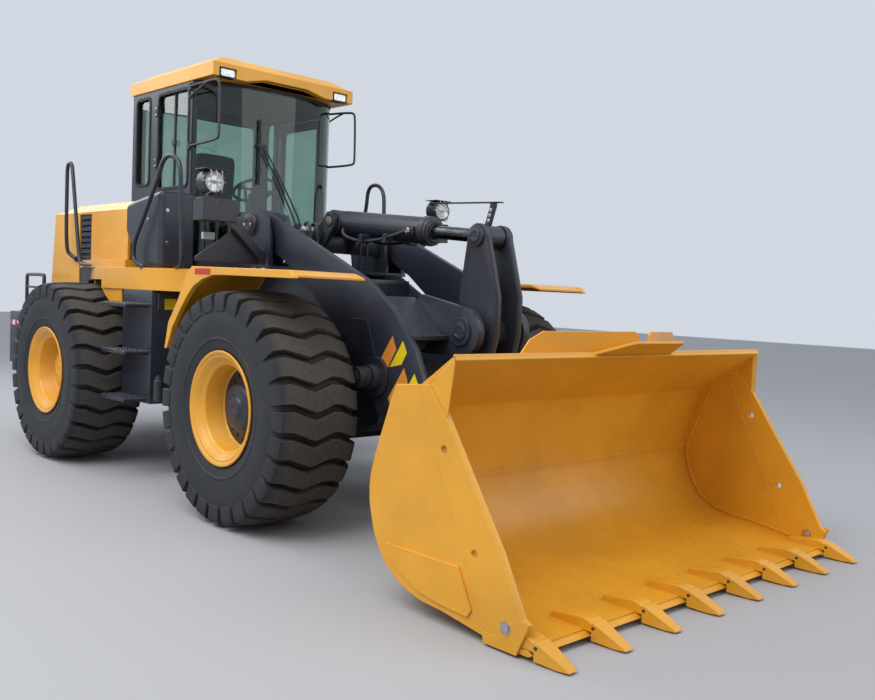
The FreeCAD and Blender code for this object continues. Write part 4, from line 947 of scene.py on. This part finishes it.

# Pin caps, each a stepped disc with two bolts
PIN_CAPS = [
    ("boom_pivot", (0.120, 2.076), 0.705, 0.062, "front_body"),
    ("boom_rocker", (2.020, 1.363), 0.268, 0.060, "boom_arms"),
    ("rocker_top", (2.010, 2.000), 0.150, 0.048, "rocker_arm"),
    ("rocker_foot", (1.960, 0.700), 0.150, 0.050, "rocker_arm"),
    ("bucket_hinge", (2.450, 0.330), 0.663, 0.060, "bucket_body"),
    ("bucket_link", (2.540, 0.640), 0.135, 0.040, "bucket_body"),
    ("lift_eye", (1.590, 1.040), 0.783, 0.036, "lift_pistons"),
    ("lift_base", (0.250, 1.250), 0.795, 0.042, "front_body"),
]
for cap_name, (x, z), y, r, body in PIN_CAPS:
    for side_name, side in BOTH:
        name = f"cap_{cap_name}_{side_name}"
        turned(name, [(0.0, -0.001), (r, -0.001), (r, 0.006), (r * 0.86, 0.009), (r * 0.55, 0.009), (r * 0.5, 0.006),
                      (0.0, 0.006)], (x, side * y, z), (0, side, 0), dark_paint, body)
        bolts = [((x + sx * r * 0.68, side * (y + 0.008), z), (0, side, 0), min(0.011, r * 0.16)) for sx in (-1, 1)]
        hex_bolts(name + "_bolts", bolts, body, bright_metal if cap_name == "boom_pivot" else dark_paint)
for side_name, side in BOTH:
    hex_bolts("tower_bolts_" + side_name, [((-0.058, side * 0.680, 2.011), (0, side, 0), 0.012),
                                           ((0.213, side * 0.680, 1.893), (0, side, 0), 0.012)],
              "front_body", bright_metal)
    hex_bolts("boom_bolt_" + side_name, [((0.465, side * 0.600, 1.796), (0, side, 0), 0.011)], "boom_arms",
              bright_metal)

# Tilt cylinder: gland with bolts, ports, steel pipe in clamps and the level bar's nuts
TILT_A, TILT_B = Vector((0.397, 0, 2.139)), Vector((2.010, 0, 2.000))
TILT_DIR = (TILT_B - TILT_A).normalized()
TILT_UP = Vector((-TILT_DIR.z, 0, TILT_DIR.x))


def on_tilt(along_axis, side_y, up):
    return tuple(TILT_A + TILT_DIR * along_axis + Vector((0, side_y, 0)) + TILT_UP * up)


for name, start, bar_dir, step, r, body, offsets in (
        ("tilt", TILT_A, TILT_DIR, 0.978, 0.107, "tilt_cylinder", (0,)),
        ("lift", Vector((0.250, 0, 1.250)), Vector((1.340, 0, -0.210)).normalized(), 1.128, 0.077, "lift_cylinders", (-0.735, 0.735))):
    for y in offsets:
        turned(f"{name}_collar_{'r' if y < 0 else 'l'}", [(r * 0.93, 0.0), (r, 0.003), (r, 0.060), (r * 0.93, 0.0615)],
               start + bar_dir * step + Vector((0, y, 0)), bar_dir, dark_paint, body)
turned("tilt_gland", [(0.048, 0.0), (0.048, 0.030), (0.058, 0.034), (0.072, 0.034), (0.080, 0.026), (0.098, 0.022),
                      (0.102, 0.014), (0.102, 0.0)], on_tilt(1.040, 0, 0), TILT_DIR, dark_paint, "tilt_cylinder")
gland_bolts = []
for k in range(8):
    a = 2 * math.pi * (k + 0.5) / 8
    gland_bolts.append((on_tilt(1.058, 0.088 * math.cos(a), 0.088 * math.sin(a)), tuple(TILT_DIR), 0.011))
hex_bolts("tilt_gland_bolts", gland_bolts, "tilt_cylinder", cast_metal)
turned("tilt_wiper_seal", [(0.0475, 0.0), (0.0475, 0.010), (0.056, 0.010), (0.060, 0.0)], on_tilt(1.073, 0, 0),
       TILT_DIR, black_rubber, "tilt_cylinder")
for side_name, side in BOTH:
    pipe = [(0.935, 0.085, -0.010), (0.935, 0.140, -0.012), (0.880, 0.150, -0.030), (0.740, 0.140, -0.070),
            (0.560, 0.124, -0.110), (0.380, 0.120, -0.128), (0.230, 0.128, -0.110), (0.165, 0.132, -0.080),
            (0.150, 0.110, -0.050)]
    if side > 0:
        pipe = pipe[:6] + [(0.260, 0.116, -0.122), (0.215, 0.100, -0.110), (0.205, 0.080, -0.060)]
    bent_bar("tilt_pipe_" + side_name, [on_tilt(d, side * y, up) for d, y, up in pipe], 0.014, steel_pipe,
             "tilt_cylinder")
    slab("tilt_port_" + side_name, rounded(0.0, 0.075, 0.0, 0.065, 0.012), "Y", *sorted((side * 0.070, side * 0.118)),
         dark_paint, "tilt_cylinder", "dark_paint").matrix_world = Matrix.Translation(on_tilt(0.895, 0, -0.045))
    for k, d in enumerate((0.420, 0.700)):
        slab(f"tilt_clamp_{side_name}_{k}", rounded(-0.018, 0.018, -0.040, 0.030, 0.010), "Y",
             *sorted((side * 0.078, side * 0.158)), dark_paint, "tilt_cylinder", "dark_paint"
             ).matrix_world = Matrix.Translation(on_tilt(d, 0, -0.100 if k == 0 else -0.078))
    turned("tilt_nut_" + side_name, [(0.0, 0.0), (0.024, 0.0), (0.024, 0.030), (0.018, 0.036), (0.0, 0.036)],
           on_tilt(0.935, side * 0.116, -0.012), (0, side, 0), bright_metal, "tilt_cylinder", 6)
hex_bolts("level_bar_bolts", [((2.000 + k * 0.008, -0.016, 2.110 + k * 0.035), (0, -1, 0), 0.010) for k in range(3)],
          "tilt_piston", bright_metal)
turned("level_bar_tip", [(0.0, 0.0), (0.014, 0.0), (0.018, 0.008), (0.014, 0.018), (0.0, 0.018)],
       (1.424, 0, 2.250), (-1, 0, 0), black_rubber, "tilt_piston", 20)

# Tower: fittings and steel pipes beside the tilt cylinder's ears
for k, (x, y) in enumerate(((0.268, 0.215), (0.268, 0.285), (0.268, -0.215), (0.268, -0.285))):
    bent_bar(f"tower_pipe_{k}", [(x, y, 2.055), (x, y, 2.105), (x + 0.035, y, 2.125), (x + 0.075, y, 2.100),
                                 (x + 0.085, y, 2.020), (x + 0.085, y, 1.880), (x + 0.070, y, 1.765)],
             0.012, steel_pipe, "front_body")
    turned(f"tower_fitting_{k}", [(0.0, 0.0), (0.021, 0.0), (0.021, 0.026), (0.016, 0.034), (0.0, 0.034)],
           (x, y, 2.058), (0, 0, 1), bright_metal, "front_body", 6)

# Lift cylinders: gland rings and pipes
LIFT_A, LIFT_B = Vector((0.250, 0, 1.250)), Vector((1.590, 0, 1.040))
LIFT_DIR = (LIFT_B - LIFT_A).normalized()
for side_name, side in BOTH:
    end = LIFT_A + LIFT_DIR * 1.190 + Vector((0, side * 0.735, 0))
    turned("lift_gland_" + side_name, [(0.041, 0.0), (0.041, 0.022), (0.050, 0.024), (0.062, 0.022), (0.072, 0.016),
                                       (0.072, 0.0)], end, LIFT_DIR, dark_paint, "lift_cylinders")
    bent_bar("lift_pipe_" + side_name,
             [tuple(LIFT_A + LIFT_DIR * d + Vector((0, side * 0.735, up))) for d, up in
              ((1.060, -0.060), (1.060, -0.098), (1.020, -0.102), (0.700, -0.096), (0.300, -0.096), (0.180, -0.098),
               (0.160, -0.060))], 0.010, steel_pipe, "lift_cylinders")

# Cab: roof lining, dark front band as painted shade in the roof's front recess, window seals, sash and hinges
slab("roof_lining", [(-1.880, -0.640), (-0.830, -0.640), (-0.600, -0.300), (-0.600, 0.300), (-0.830, 0.640),
                     (-1.880, 0.640)], "Z", 3.262, 3.289, cab_plastic, "rear_body", "cab_plastic", 0.006)
# Dark plate on the back wall of the roof's front arch recess: painted shade under the roof's front edge
slab("front_shade_band", [(-0.600, 3.291), (-0.400, 3.291), (-0.212, 3.331), (0.212, 3.331), (0.400, 3.291),
                    (0.600, 3.291), (0.600, 3.300), (-0.600, 3.300)][:6], "X", -0.545, -0.520, cab_plastic,
     "rear_body", "cab_plastic", 0.002)
SEALS = [("right_front", -1, -1.395, -0.855, 2.420, 3.240, "rear_body"),
         ("right_rear", -1, -1.810, -1.550, 2.470, 3.240, "rear_body"),
         ("left_rear", 1, -1.810, -1.640, 2.316, 3.240, "rear_body")]
for name, side, x0, x1, z0, z1, body in SEALS:
    seal("seal_" + name, x0, x1, z0, z1, side * 0.694, side * 0.707, black_rubber, body)
seal("seal_door", -1.490, -0.930, 1.846, 3.130, 0.690, 0.701, black_rubber, "cab_door")
seal("seal_back", -0.590, 0.590, 2.256, 3.200, 0.0, 0.012, black_rubber, "rear_body"
     ).matrix_world = Matrix.Translation((-1.884, 0, 0)) @ Matrix.Rotation(math.pi / 2, 4, "Z")
slab("sash_bar", rounded(-1.130, -1.104, 2.425, 3.235, 0.006), "Y", -0.690, -0.672, black_rubber, "rear_body",
     "cab_plastic", 0.003)
slab("sash_catch", rounded(-1.135, -1.075, 2.780, 2.830, 0.012), "Y", -0.706, -0.686, cab_plastic, "rear_body",
     "cab_plastic", 0.003)
for k, z in enumerate((3.100, 2.655)):
    slab(f"sash_hinge_{k}", rounded(-1.440, -1.385, z - 0.045, z + 0.045, 0.012), "Y", -0.716, -0.698, cab_plastic,
         "rear_body", "cab_plastic", 0.004)
    hex_bolts(f"sash_hinge_bolts_{k}", [((-1.415, -0.716, z + s * 0.028), (0, -1, 0), 0.008) for s in (-1, 1)],
              "rear_body", bright_metal)
bent_bar("door_handle", [(-1.000, 0.694, 2.020), (-1.000, 0.722, 2.020), (-1.000, 0.728, 2.040),
                         (-1.000, 0.728, 2.140), (-1.000, 0.722, 2.160), (-1.000, 0.694, 2.160)], 0.009,
         cab_plastic, "cab_door")

# Roof lamps and wipers
for side_name, side in BOTH:
    lo, hi = sorted((side * 0.498, side * 0.642))
    slab("roof_lamp_body_" + side_name, rounded(lo, hi, 3.292, 3.362, 0.016), "X", -0.531, -0.472, cab_plastic,
         "rear_body", "cab_plastic", 0.004)
    slab("roof_lamp_mirror_" + side_name, rounded(lo + 0.009, hi - 0.009, 3.300, 3.355, 0.014), "X", -0.474, -0.469,
         reflector, "rear_body", "steel", 0.002)
    slab("roof_lamp_lens_" + side_name, rounded(lo + 0.006, hi - 0.006, 3.297, 3.358, 0.014), "X", -0.468, -0.464,
         lamp_glass, "rear_body", "cab_glass", 0.0015)
for k, (y_low, y_top) in enumerate(((0.190, -0.205), (0.245, -0.165))):
    bent_bar(f"wiper_arm_{k}", [(-0.535, y_low, 2.150), (-0.530, y_low - 0.02, 2.200),
                                (-0.532, (y_low + y_top) / 2, 2.500), (-0.535, y_top, 2.800)],
             0.007, cab_plastic, "rear_body")
slab("wiper_blade", rounded(-0.212, -0.198, 2.470, 3.020, 0.006), "X", -0.548, -0.528, black_rubber, "rear_body",
     "cab_plastic", 0.002)
slab("wiper_head", rounded(-0.225, -0.150, 2.785, 2.812, 0.008), "X", -0.545, -0.522, cab_plastic, "rear_body",
     "cab_plastic", 0.003)
turned("wiper_pivot", [(0.0, 0.0), (0.030, 0.0), (0.030, 0.016), (0.020, 0.026), (0.0, 0.028)], (-0.558, 0.215, 2.150),
       (1, 0, 0), cab_plastic, "rear_body", 32)

# Mirror brackets at the cab's front posts
MIRROR_LOOP = [(0.000, 0.005, 3.240), (0.060, 0.012, 3.245), (0.420, 0.030, 3.238), (0.500, 0.034, 3.228),
               (0.530, 0.036, 3.190), (0.540, 0.038, 2.840), (0.538, 0.038, 2.780), (0.500, 0.036, 2.758),
               (0.060, 0.012, 2.752), (0.000, 0.005, 2.752)]
for side_name, side in BOTH:
    reach = 1.0 if side < 0 else 0.62
    bent_bar("mirror_bracket_" + side_name,
             [(-0.832 + x * reach, side * (0.700 + y * (1 if side < 0 else 2.2)), z) for x, y, z in MIRROR_LOOP],
             0.010, cab_plastic, "rear_body")
    bent_bar("mirror_stay_" + side_name,
             [(-0.832, side * 0.703, 3.150), (-0.780, side * 0.710, 3.185), (-0.500 if side < 0 else -0.640,
                                                                           side * (0.728 if side < 0 else 0.75), 3.238)],
             0.008, cab_plastic, "rear_body")
    for k, z in enumerate((3.240, 2.752)):
        slab(f"mirror_foot_{side_name}_{k}", rounded(-0.850, -0.812, z - 0.030, z + 0.030, 0.008), "Y",
             *sorted((side * 0.698, side * 0.716)), cab_plastic, "rear_body", "cab_plastic", 0.003)

# Cab inside: sprung seat, console and levers
slab("seat_plinth", rounded(-1.620, -1.290, -0.150, 0.150, 0.030), "Z", 1.757, 1.840, cab_plastic, "rear_body",
     "cab_plastic", 0.008)
bellows = [(0.0, 0.0)] + [(0.150 - 0.014 * (k % 2), 0.016 * k) for k in range(14)] + [(0.0, 0.208)]
turned("seat_bellows", bellows, (-1.455, 0, 1.840), (0, 0, 1), black_rubber, "rear_body", 48)


def cushion(name, centre, size, lean=0.0):
    """Crowned pad whose sides pull in, with two sewn channels along it."""
    bm = bmesh.new()
    bmesh.ops.create_cube(bm, size=2.0)
    bmesh.ops.subdivide_edges(bm, edges=bm.edges[:], cuts=11, use_grid_fill=True)
    for v in bm.verts:
        x, y, z = v.co
        crown = 1.0 - 0.30 * (x ** 4 + y ** 4) + 0.12 * (1 - x * x) * (1 - y * y)
        channel = 0.10 * math.exp(-((abs(y) - 0.45) / 0.07) ** 2) if z > 0.9 else 0.0
        pull = 1.0 - 0.07 * (1 - z * z) * -1.0 - 0.06 * abs(z) ** 3
        v.co = ((x * pull * (1 - 0.05 * y ** 4)) * size[0] / 2.2, (y * pull * (1 - 0.05 * x ** 4)) * size[1] / 2.2,
                z * (crown - channel) * size[2] / 2.2)
    mesh = bpy.data.meshes.new(name)
    bm.to_mesh(mesh)
    bm.free()
    mesh.transform(Matrix.Translation(centre) @ Matrix.Rotation(lean, 4, "Y"))
    mesh.polygons.foreach_set("use_smooth", [True] * len(mesh.polygons))
    obj = new_object(name, mesh, seat_fabric, "rear_body")
    smooth = obj.modifiers.new("smooth", "SUBSURF")
    smooth.levels = smooth.render_levels = 1
    return obj


seat_base = cushion("seat_cushion", (-1.450, 0, 2.125), (0.510, 0.510, 0.145))
cushion("seat_back", (-1.680, 0, 2.530), (0.640, 0.470, 0.115), math.radians(-83))
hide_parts("seat")
for side_name, side in BOTH:
    slab("arm_rest_" + side_name, rounded(*sorted((side * 0.262, side * 0.330)), 2.262, 2.325, 0.020), "X",
         -1.640, -1.300, cab_plastic, "rear_body", "cab_plastic", 0.012)
    slab("arm_post_" + side_name, [(-1.690, 2.140), (-1.640, 2.140), (-1.590, 2.270), (-1.640, 2.270)], "Y",
         *sorted((side * 0.262, side * 0.292)), cab_plastic, "rear_body", "cab_plastic", 0.006)
slab("dash_console", rounded(-0.340, 0.340, 1.757, 2.110, 0.060), "X", -0.830, -0.715, cab_plastic, "rear_body",
     "cab_plastic", 0.020)
slab("side_console", [(-1.680, 1.757), (-1.160, 1.757), (-1.120, 2.140), (-1.230, 2.230), (-1.640, 2.210)], "Y",
     -0.600, -0.350, cab_plastic, "rear_body", "cab_plastic", 0.020)
for k, y in enumerate((-0.430, -0.500)):
    bent_bar(f"lever_{k}", [(-1.250, y, 2.200), (-1.235, y, 2.280), (-1.250, y, 2.370)], 0.007, bright_metal,
             "rear_body")
    turned(f"lever_knob_{k}", [(0.0, 0.0), (0.016, 0.004), (0.024, 0.020), (0.022, 0.040), (0.012, 0.052), (0.0, 0.054)],
           (-1.252, y, 2.360), (0, 0, 1), black_rubber, "rear_body", 24)

# Headlamps: bezel, mirror bowl, lens and wire guard; bolts on the box below
for side_name, side in BOTH:
    x, y, z = 0.330, side * 1.126, 2.340
    turned("headlamp_bezel_" + side_name, [(0.074, -0.004), (0.088, -0.004), (0.090, 0.006), (0.086, 0.014),
                                           (0.076, 0.014)], (x, y, z), (1, 0, 0), cab_plastic, "front_body")
    turned("headlamp_mirror_" + side_name, [(0.0, 0.001), (0.040, 0.001), (0.064, 0.004), (0.076, 0.010), (0.078, 0.006),
                                            (0.060, -0.001), (0.0, -0.001)], (x, y, z), (1, 0, 0), reflector,
           "front_body")
    turned("headlamp_bulb_" + side_name, [(0.0, 0.001), (0.016, 0.001), (0.016, 0.008), (0.010, 0.012), (0.0, 0.013)],
           (x, y, z), (1, 0, 0), bright_metal, "front_body", 24)
    turned("headlamp_lens_" + side_name, [(0.0, 0.024), (0.040, 0.021), (0.068, 0.015), (0.076, 0.011), (0.076, 0.008),
                                          (0.066, 0.011), (0.038, 0.017), (0.0, 0.020)], (x, y, z), (1, 0, 0),
           lamp_glass, "front_body")
    for k, dy in enumerate((-0.045, 0.0, 0.045)):
        bent_bar(f"headlamp_guard_{side_name}_{k}", [(x - 0.010, y + dy, z + 0.086), (x + 0.030, y + dy, z + 0.086),
                                                    (x + 0.038, y + dy, z + 0.060), (x + 0.038, y + dy, z - 0.060),
                                                    (x + 0.030, y + dy, z - 0.086), (x - 0.010, y + dy, z - 0.086)],
                 0.003, bright_metal, "front_body")
    bent_bar(f"headlamp_guard_{side_name}_level", [(x - 0.010, y - 0.090, z), (x + 0.028, y - 0.088, z),
                                                  (x + 0.038, y - 0.060, z), (x + 0.038, y + 0.060, z),
                                                  (x + 0.028, y + 0.088, z), (x - 0.010, y + 0.090, z)],
             0.003, bright_metal, "front_body")
    hex_bolts("headlamp_box_bolts_" + side_name, [((0.340, y + dy, 2.205), (1, 0, 0), 0.008) for dy in (-0.160, 0.060)],
              "front_body", cast_metal)

# Fenders, counterweight and walkway: reflectors, bolts and blank labels
for side_name, side in BOTH:
    slab("fender_reflector_" + side_name, rounded(0.590, 0.791, 1.669, 1.709, 0.004), "Y",
         *sorted((side * 1.3990, side * 1.4030)), red_lens, "front_body", "cab_plastic", 0.0008)
    hex_bolts("fender_bolts_" + side_name, [((x, side * 1.380, 1.713), (0, 0, 1), 0.012) for x in (1.288, 1.400)],
              "front_body", bright_metal)
    for k in range(5):
        slab(f"weight_mark_{side_name}_{k}", [(-3.840 + 0.066 * k, 1.110), (-3.774 + 0.066 * k, 1.110),
                                              (-3.774 + 0.066 * k, 1.160), (-3.840 + 0.066 * k, 1.160)], "Y",
             *sorted((side * 1.0795, side * 1.0812)), white_label if k % 2 else red_lens, "rear_body", "cab_plastic",
             0.0003)
    slab("box_sticker_" + side_name, rounded(*sorted((side * 0.868, side * 0.970)), 1.388, 1.475, 0.004), "X",
         -0.6705, -0.6690, stripe_yellow, "rear_body", "yellow_paint", 0.0003)
    bent_bar("box_grab_" + side_name, [(-0.672, side * 1.040, 1.520), (-0.635, side * 1.040, 1.520),
                                      (-0.630, side * 1.040, 1.500), (-0.630, side * 1.040, 1.400),
                                      (-0.635, side * 1.040, 1.380), (-0.672, side * 1.040, 1.380)], 0.010,
             dark_paint, "rear_body")
    turned("filter_" + side_name, [(0.0, 0.0), (0.030, 0.0), (0.036, 0.006), (0.036, 0.170), (0.030, 0.180),
                                   (0.026, 0.182), (0.026, 0.200), (0.012, 0.206), (0.012, 0.218), (0.0, 0.218)],
           (-0.632, side * 1.030, 0.640), (0, 0, 1), cast_metal, "rear_body")
    slab("cab_label_" + side_name, [(-0.706, side * 0.636), (-0.648, side * 0.543), (-0.646, side * 0.5445),
                                    (-0.704, side * 0.6375)], "Z", 1.984, 2.042, white_label, "rear_body",
         "cab_plastic", 0.0003)
    for k, z in enumerate((0.671, 1.051, 1.431)):
        ribs = [((-1.120 + 0.058 * n, side * (1.105 + 0.050 * m), z), (0, 0, 1), 0.012) for n in range(7) for m in range(4)]
        studs(f"step_studs_{side_name}_{k}", ribs, "rear_body", dark_paint)
hex_bolts("tank_cover_bolts", [((-0.680, -0.960, 2.190), (1, 0, 0), 0.011), ((-0.680, -0.960, 1.930), (1, 0, 0), 0.011),
                               ((-0.900, -1.020, 2.120), (0, -1, 0), 0.011)], "rear_body", bright_metal)

# Bucket: bolts, weld beads
pins = Form([], [])
for k in range(8):
    y = -1436.0 + 2872.0 * k / 7
    pins += disc((3800, 72), "Y", y - 48.5, y + 48.5, 8, 20) + disc((3800, 72), "Y", y - 49.5, y + 49.5, 5, 12)
piece("tooth_pins", pins, cast_metal, "bucket_body", (), 0.001)
for side_name, side in BOTH:
    hex_bolts("corner_bolt_" + side_name, [((3.636, side * 1.4965, 0.118), (0, side, 0), 0.024)], "bucket_body",
              bright_metal)
    hex_bolts("corner_nut_" + side_name, [((3.636, side * 1.456, 0.118), (0, -side, 0), 0.024)], "bucket_body",
              bright_metal)
    weld = [(2.841, 0.976), (2.745, 0.727), (2.680, 0.579), (2.700, 0.435), (2.760, 0.300), (2.855, 0.190),
            (2.985, 0.140), (3.150, 0.124), (3.330, 0.104), (3.500, 0.074)]
    bent_bar("bucket_weld_" + side_name, [(x + 0.020, side * 1.455, z + 0.014) for x, z in weld], 0.006, bucket_paint,
             "bucket_body")
    bent_bar("strip_weld_" + side_name, [(2.990, side * 1.456, 1.153), (3.098, side * 1.456, 0.891),
                                        (3.256, side * 1.456, 0.584), (3.411, side * 1.456, 0.247),
                                        (3.480, side * 1.456, 0.105)], 0.004, bucket_paint, "bucket_body")
bent_bar("edge_weld", [(3.545, -1.455, 0.058), (3.545, 0.0, 0.058), (3.545, 1.455, 0.058)], 0.006, bucket_paint,
         "bucket_body")
bent_bar("back_weld", [(2.716, -1.460, 0.583), (2.716, 0.0, 0.583), (2.716, 1.460, 0.583)], 0.004, bucket_paint,
         "bucket_body")

# Rear: tail lamps, tow pin, dark radiator core, exhaust band and foot
slab("radiator_core", [(-3.560, -0.640), (-3.560, 0.640), (-3.760, 0.545), (-3.760, -0.545)], "Z", 1.300, 2.130, black_rubber, "rear_body", "cab_plastic", 0.004)
for side_name, side in BOTH:
    face = Vector((-0.86, side * 0.51, 0)).normalized()
    for k, (dz, look) in enumerate(((0.0, red_lens), (0.085, stripe_orange), (-0.085, white_label))):
        turned(f"tail_lamp_{side_name}_{k}", [(0.0, 0.0), (0.036, 0.0), (0.036, 0.012), (0.030, 0.020), (0.0, 0.024)],
               tuple(Vector((-3.908, side * 0.984, 1.080 + dz))), tuple(face), look, "rear_body", 32)
turned("tow_pin", [(0.0, 0.0), (0.024, 0.0), (0.024, 0.330), (0.040, 0.334), (0.040, 0.350), (0.0, 0.352)],
       (-3.900, 0, 0.905), (0, 0, 1), steel, "rear_body", 32)
turned("exhaust_band", [(0.0625, 0.0), (0.068, 0.002), (0.068, 0.028), (0.0625, 0.030)], (-2.310, 0.250, 2.640),
       (0, 0, 1), cast_metal, "rear_body")
turned("exhaust_foot", [(0.063, 0.0), (0.092, 0.0), (0.092, 0.008), (0.070, 0.018), (0.063, 0.020)],
       (-2.310, 0.250, 2.3205), (0, 0, 1), cast_metal, "rear_body")


# Camera as fitted to the photograph
def look_through_photo_camera():
    yaw, pitch, roll = (math.radians(a) for a in (136.474, -3.271, 2.426))
    ahead = Vector((math.cos(pitch) * math.cos(yaw), math.cos(pitch) * math.sin(yaw), math.sin(pitch)))
    right = ahead.cross(Vector((0, 0, 1))).normalized()
    up = right.cross(ahead)
    right_rolled = math.cos(roll) * right + math.sin(roll) * up
    up_rolled = -math.sin(roll) * right + math.cos(roll) * up
    camera = bpy.data.objects.new("camera", bpy.data.cameras.new("camera"))
    camera.data.sensor_width = 36.0
    camera.data.lens = 38.56
    camera.data.clip_end = 100.0
    bpy.context.scene.collection.objects.link(camera)
    camera.matrix_world = Matrix.Translation((6.376, -4.592, 1.588)) @ Matrix(
        [[right_rolled[i], up_rolled[i], -ahead[i], 0] for i in range(3)] + [[0, 0, 0, 1]])
    bpy.context.scene.camera = camera


look_through_photo_camera()


# Floor and light
def stage_and_light():
    mesh = mesh_from("floor", [(-40, -40, 0), (40, -40, 0), (40, 40, 0), (-40, 40, 0)], [(0, 1, 2, 3)])
    floor = bpy.data.objects.new("floor", mesh)
    bpy.context.scene.collection.objects.link(floor)
    look = plastic("floor_look", (0.42, 0.42, 0.43), 0.8)
    mesh.materials.append(look)
    world = bpy.data.worlds.new("soft_studio")
    bpy.context.scene.world = world
    world.use_nodes = True
    background = world.node_tree.nodes["Background"]
    background.inputs["Color"].default_value = (0.80, 0.86, 0.95, 1)
    background.inputs["Strength"].default_value = 0.80
    for name, place, target, size, power in (
        ("key", (1.5, -6.5, 9.0), (0.5, 0, 1.0), 8.0, 900.0),
        ("fill", (8.0, 4.0, 5.5), (0.5, 0, 1.0), 7.0, 160.0),
        ("back", (-8.0, -2.0, 7.0), (-1.0, 0, 1.5), 6.0, 300.0),
    ):
        lamp = bpy.data.lights.new(name, "AREA")
        lamp.size, lamp.energy = size, power
        obj = bpy.data.objects.new(name, lamp)
        bpy.context.scene.collection.objects.link(obj)
        aim = (Vector(target) - Vector(place)).to_track_quat("-Z", "Y").to_matrix().to_4x4()
        obj.matrix_world = Matrix.Translation(place) @ aim


stage_and_light()
bpy.context.scene.view_settings.view_transform = "Standard"
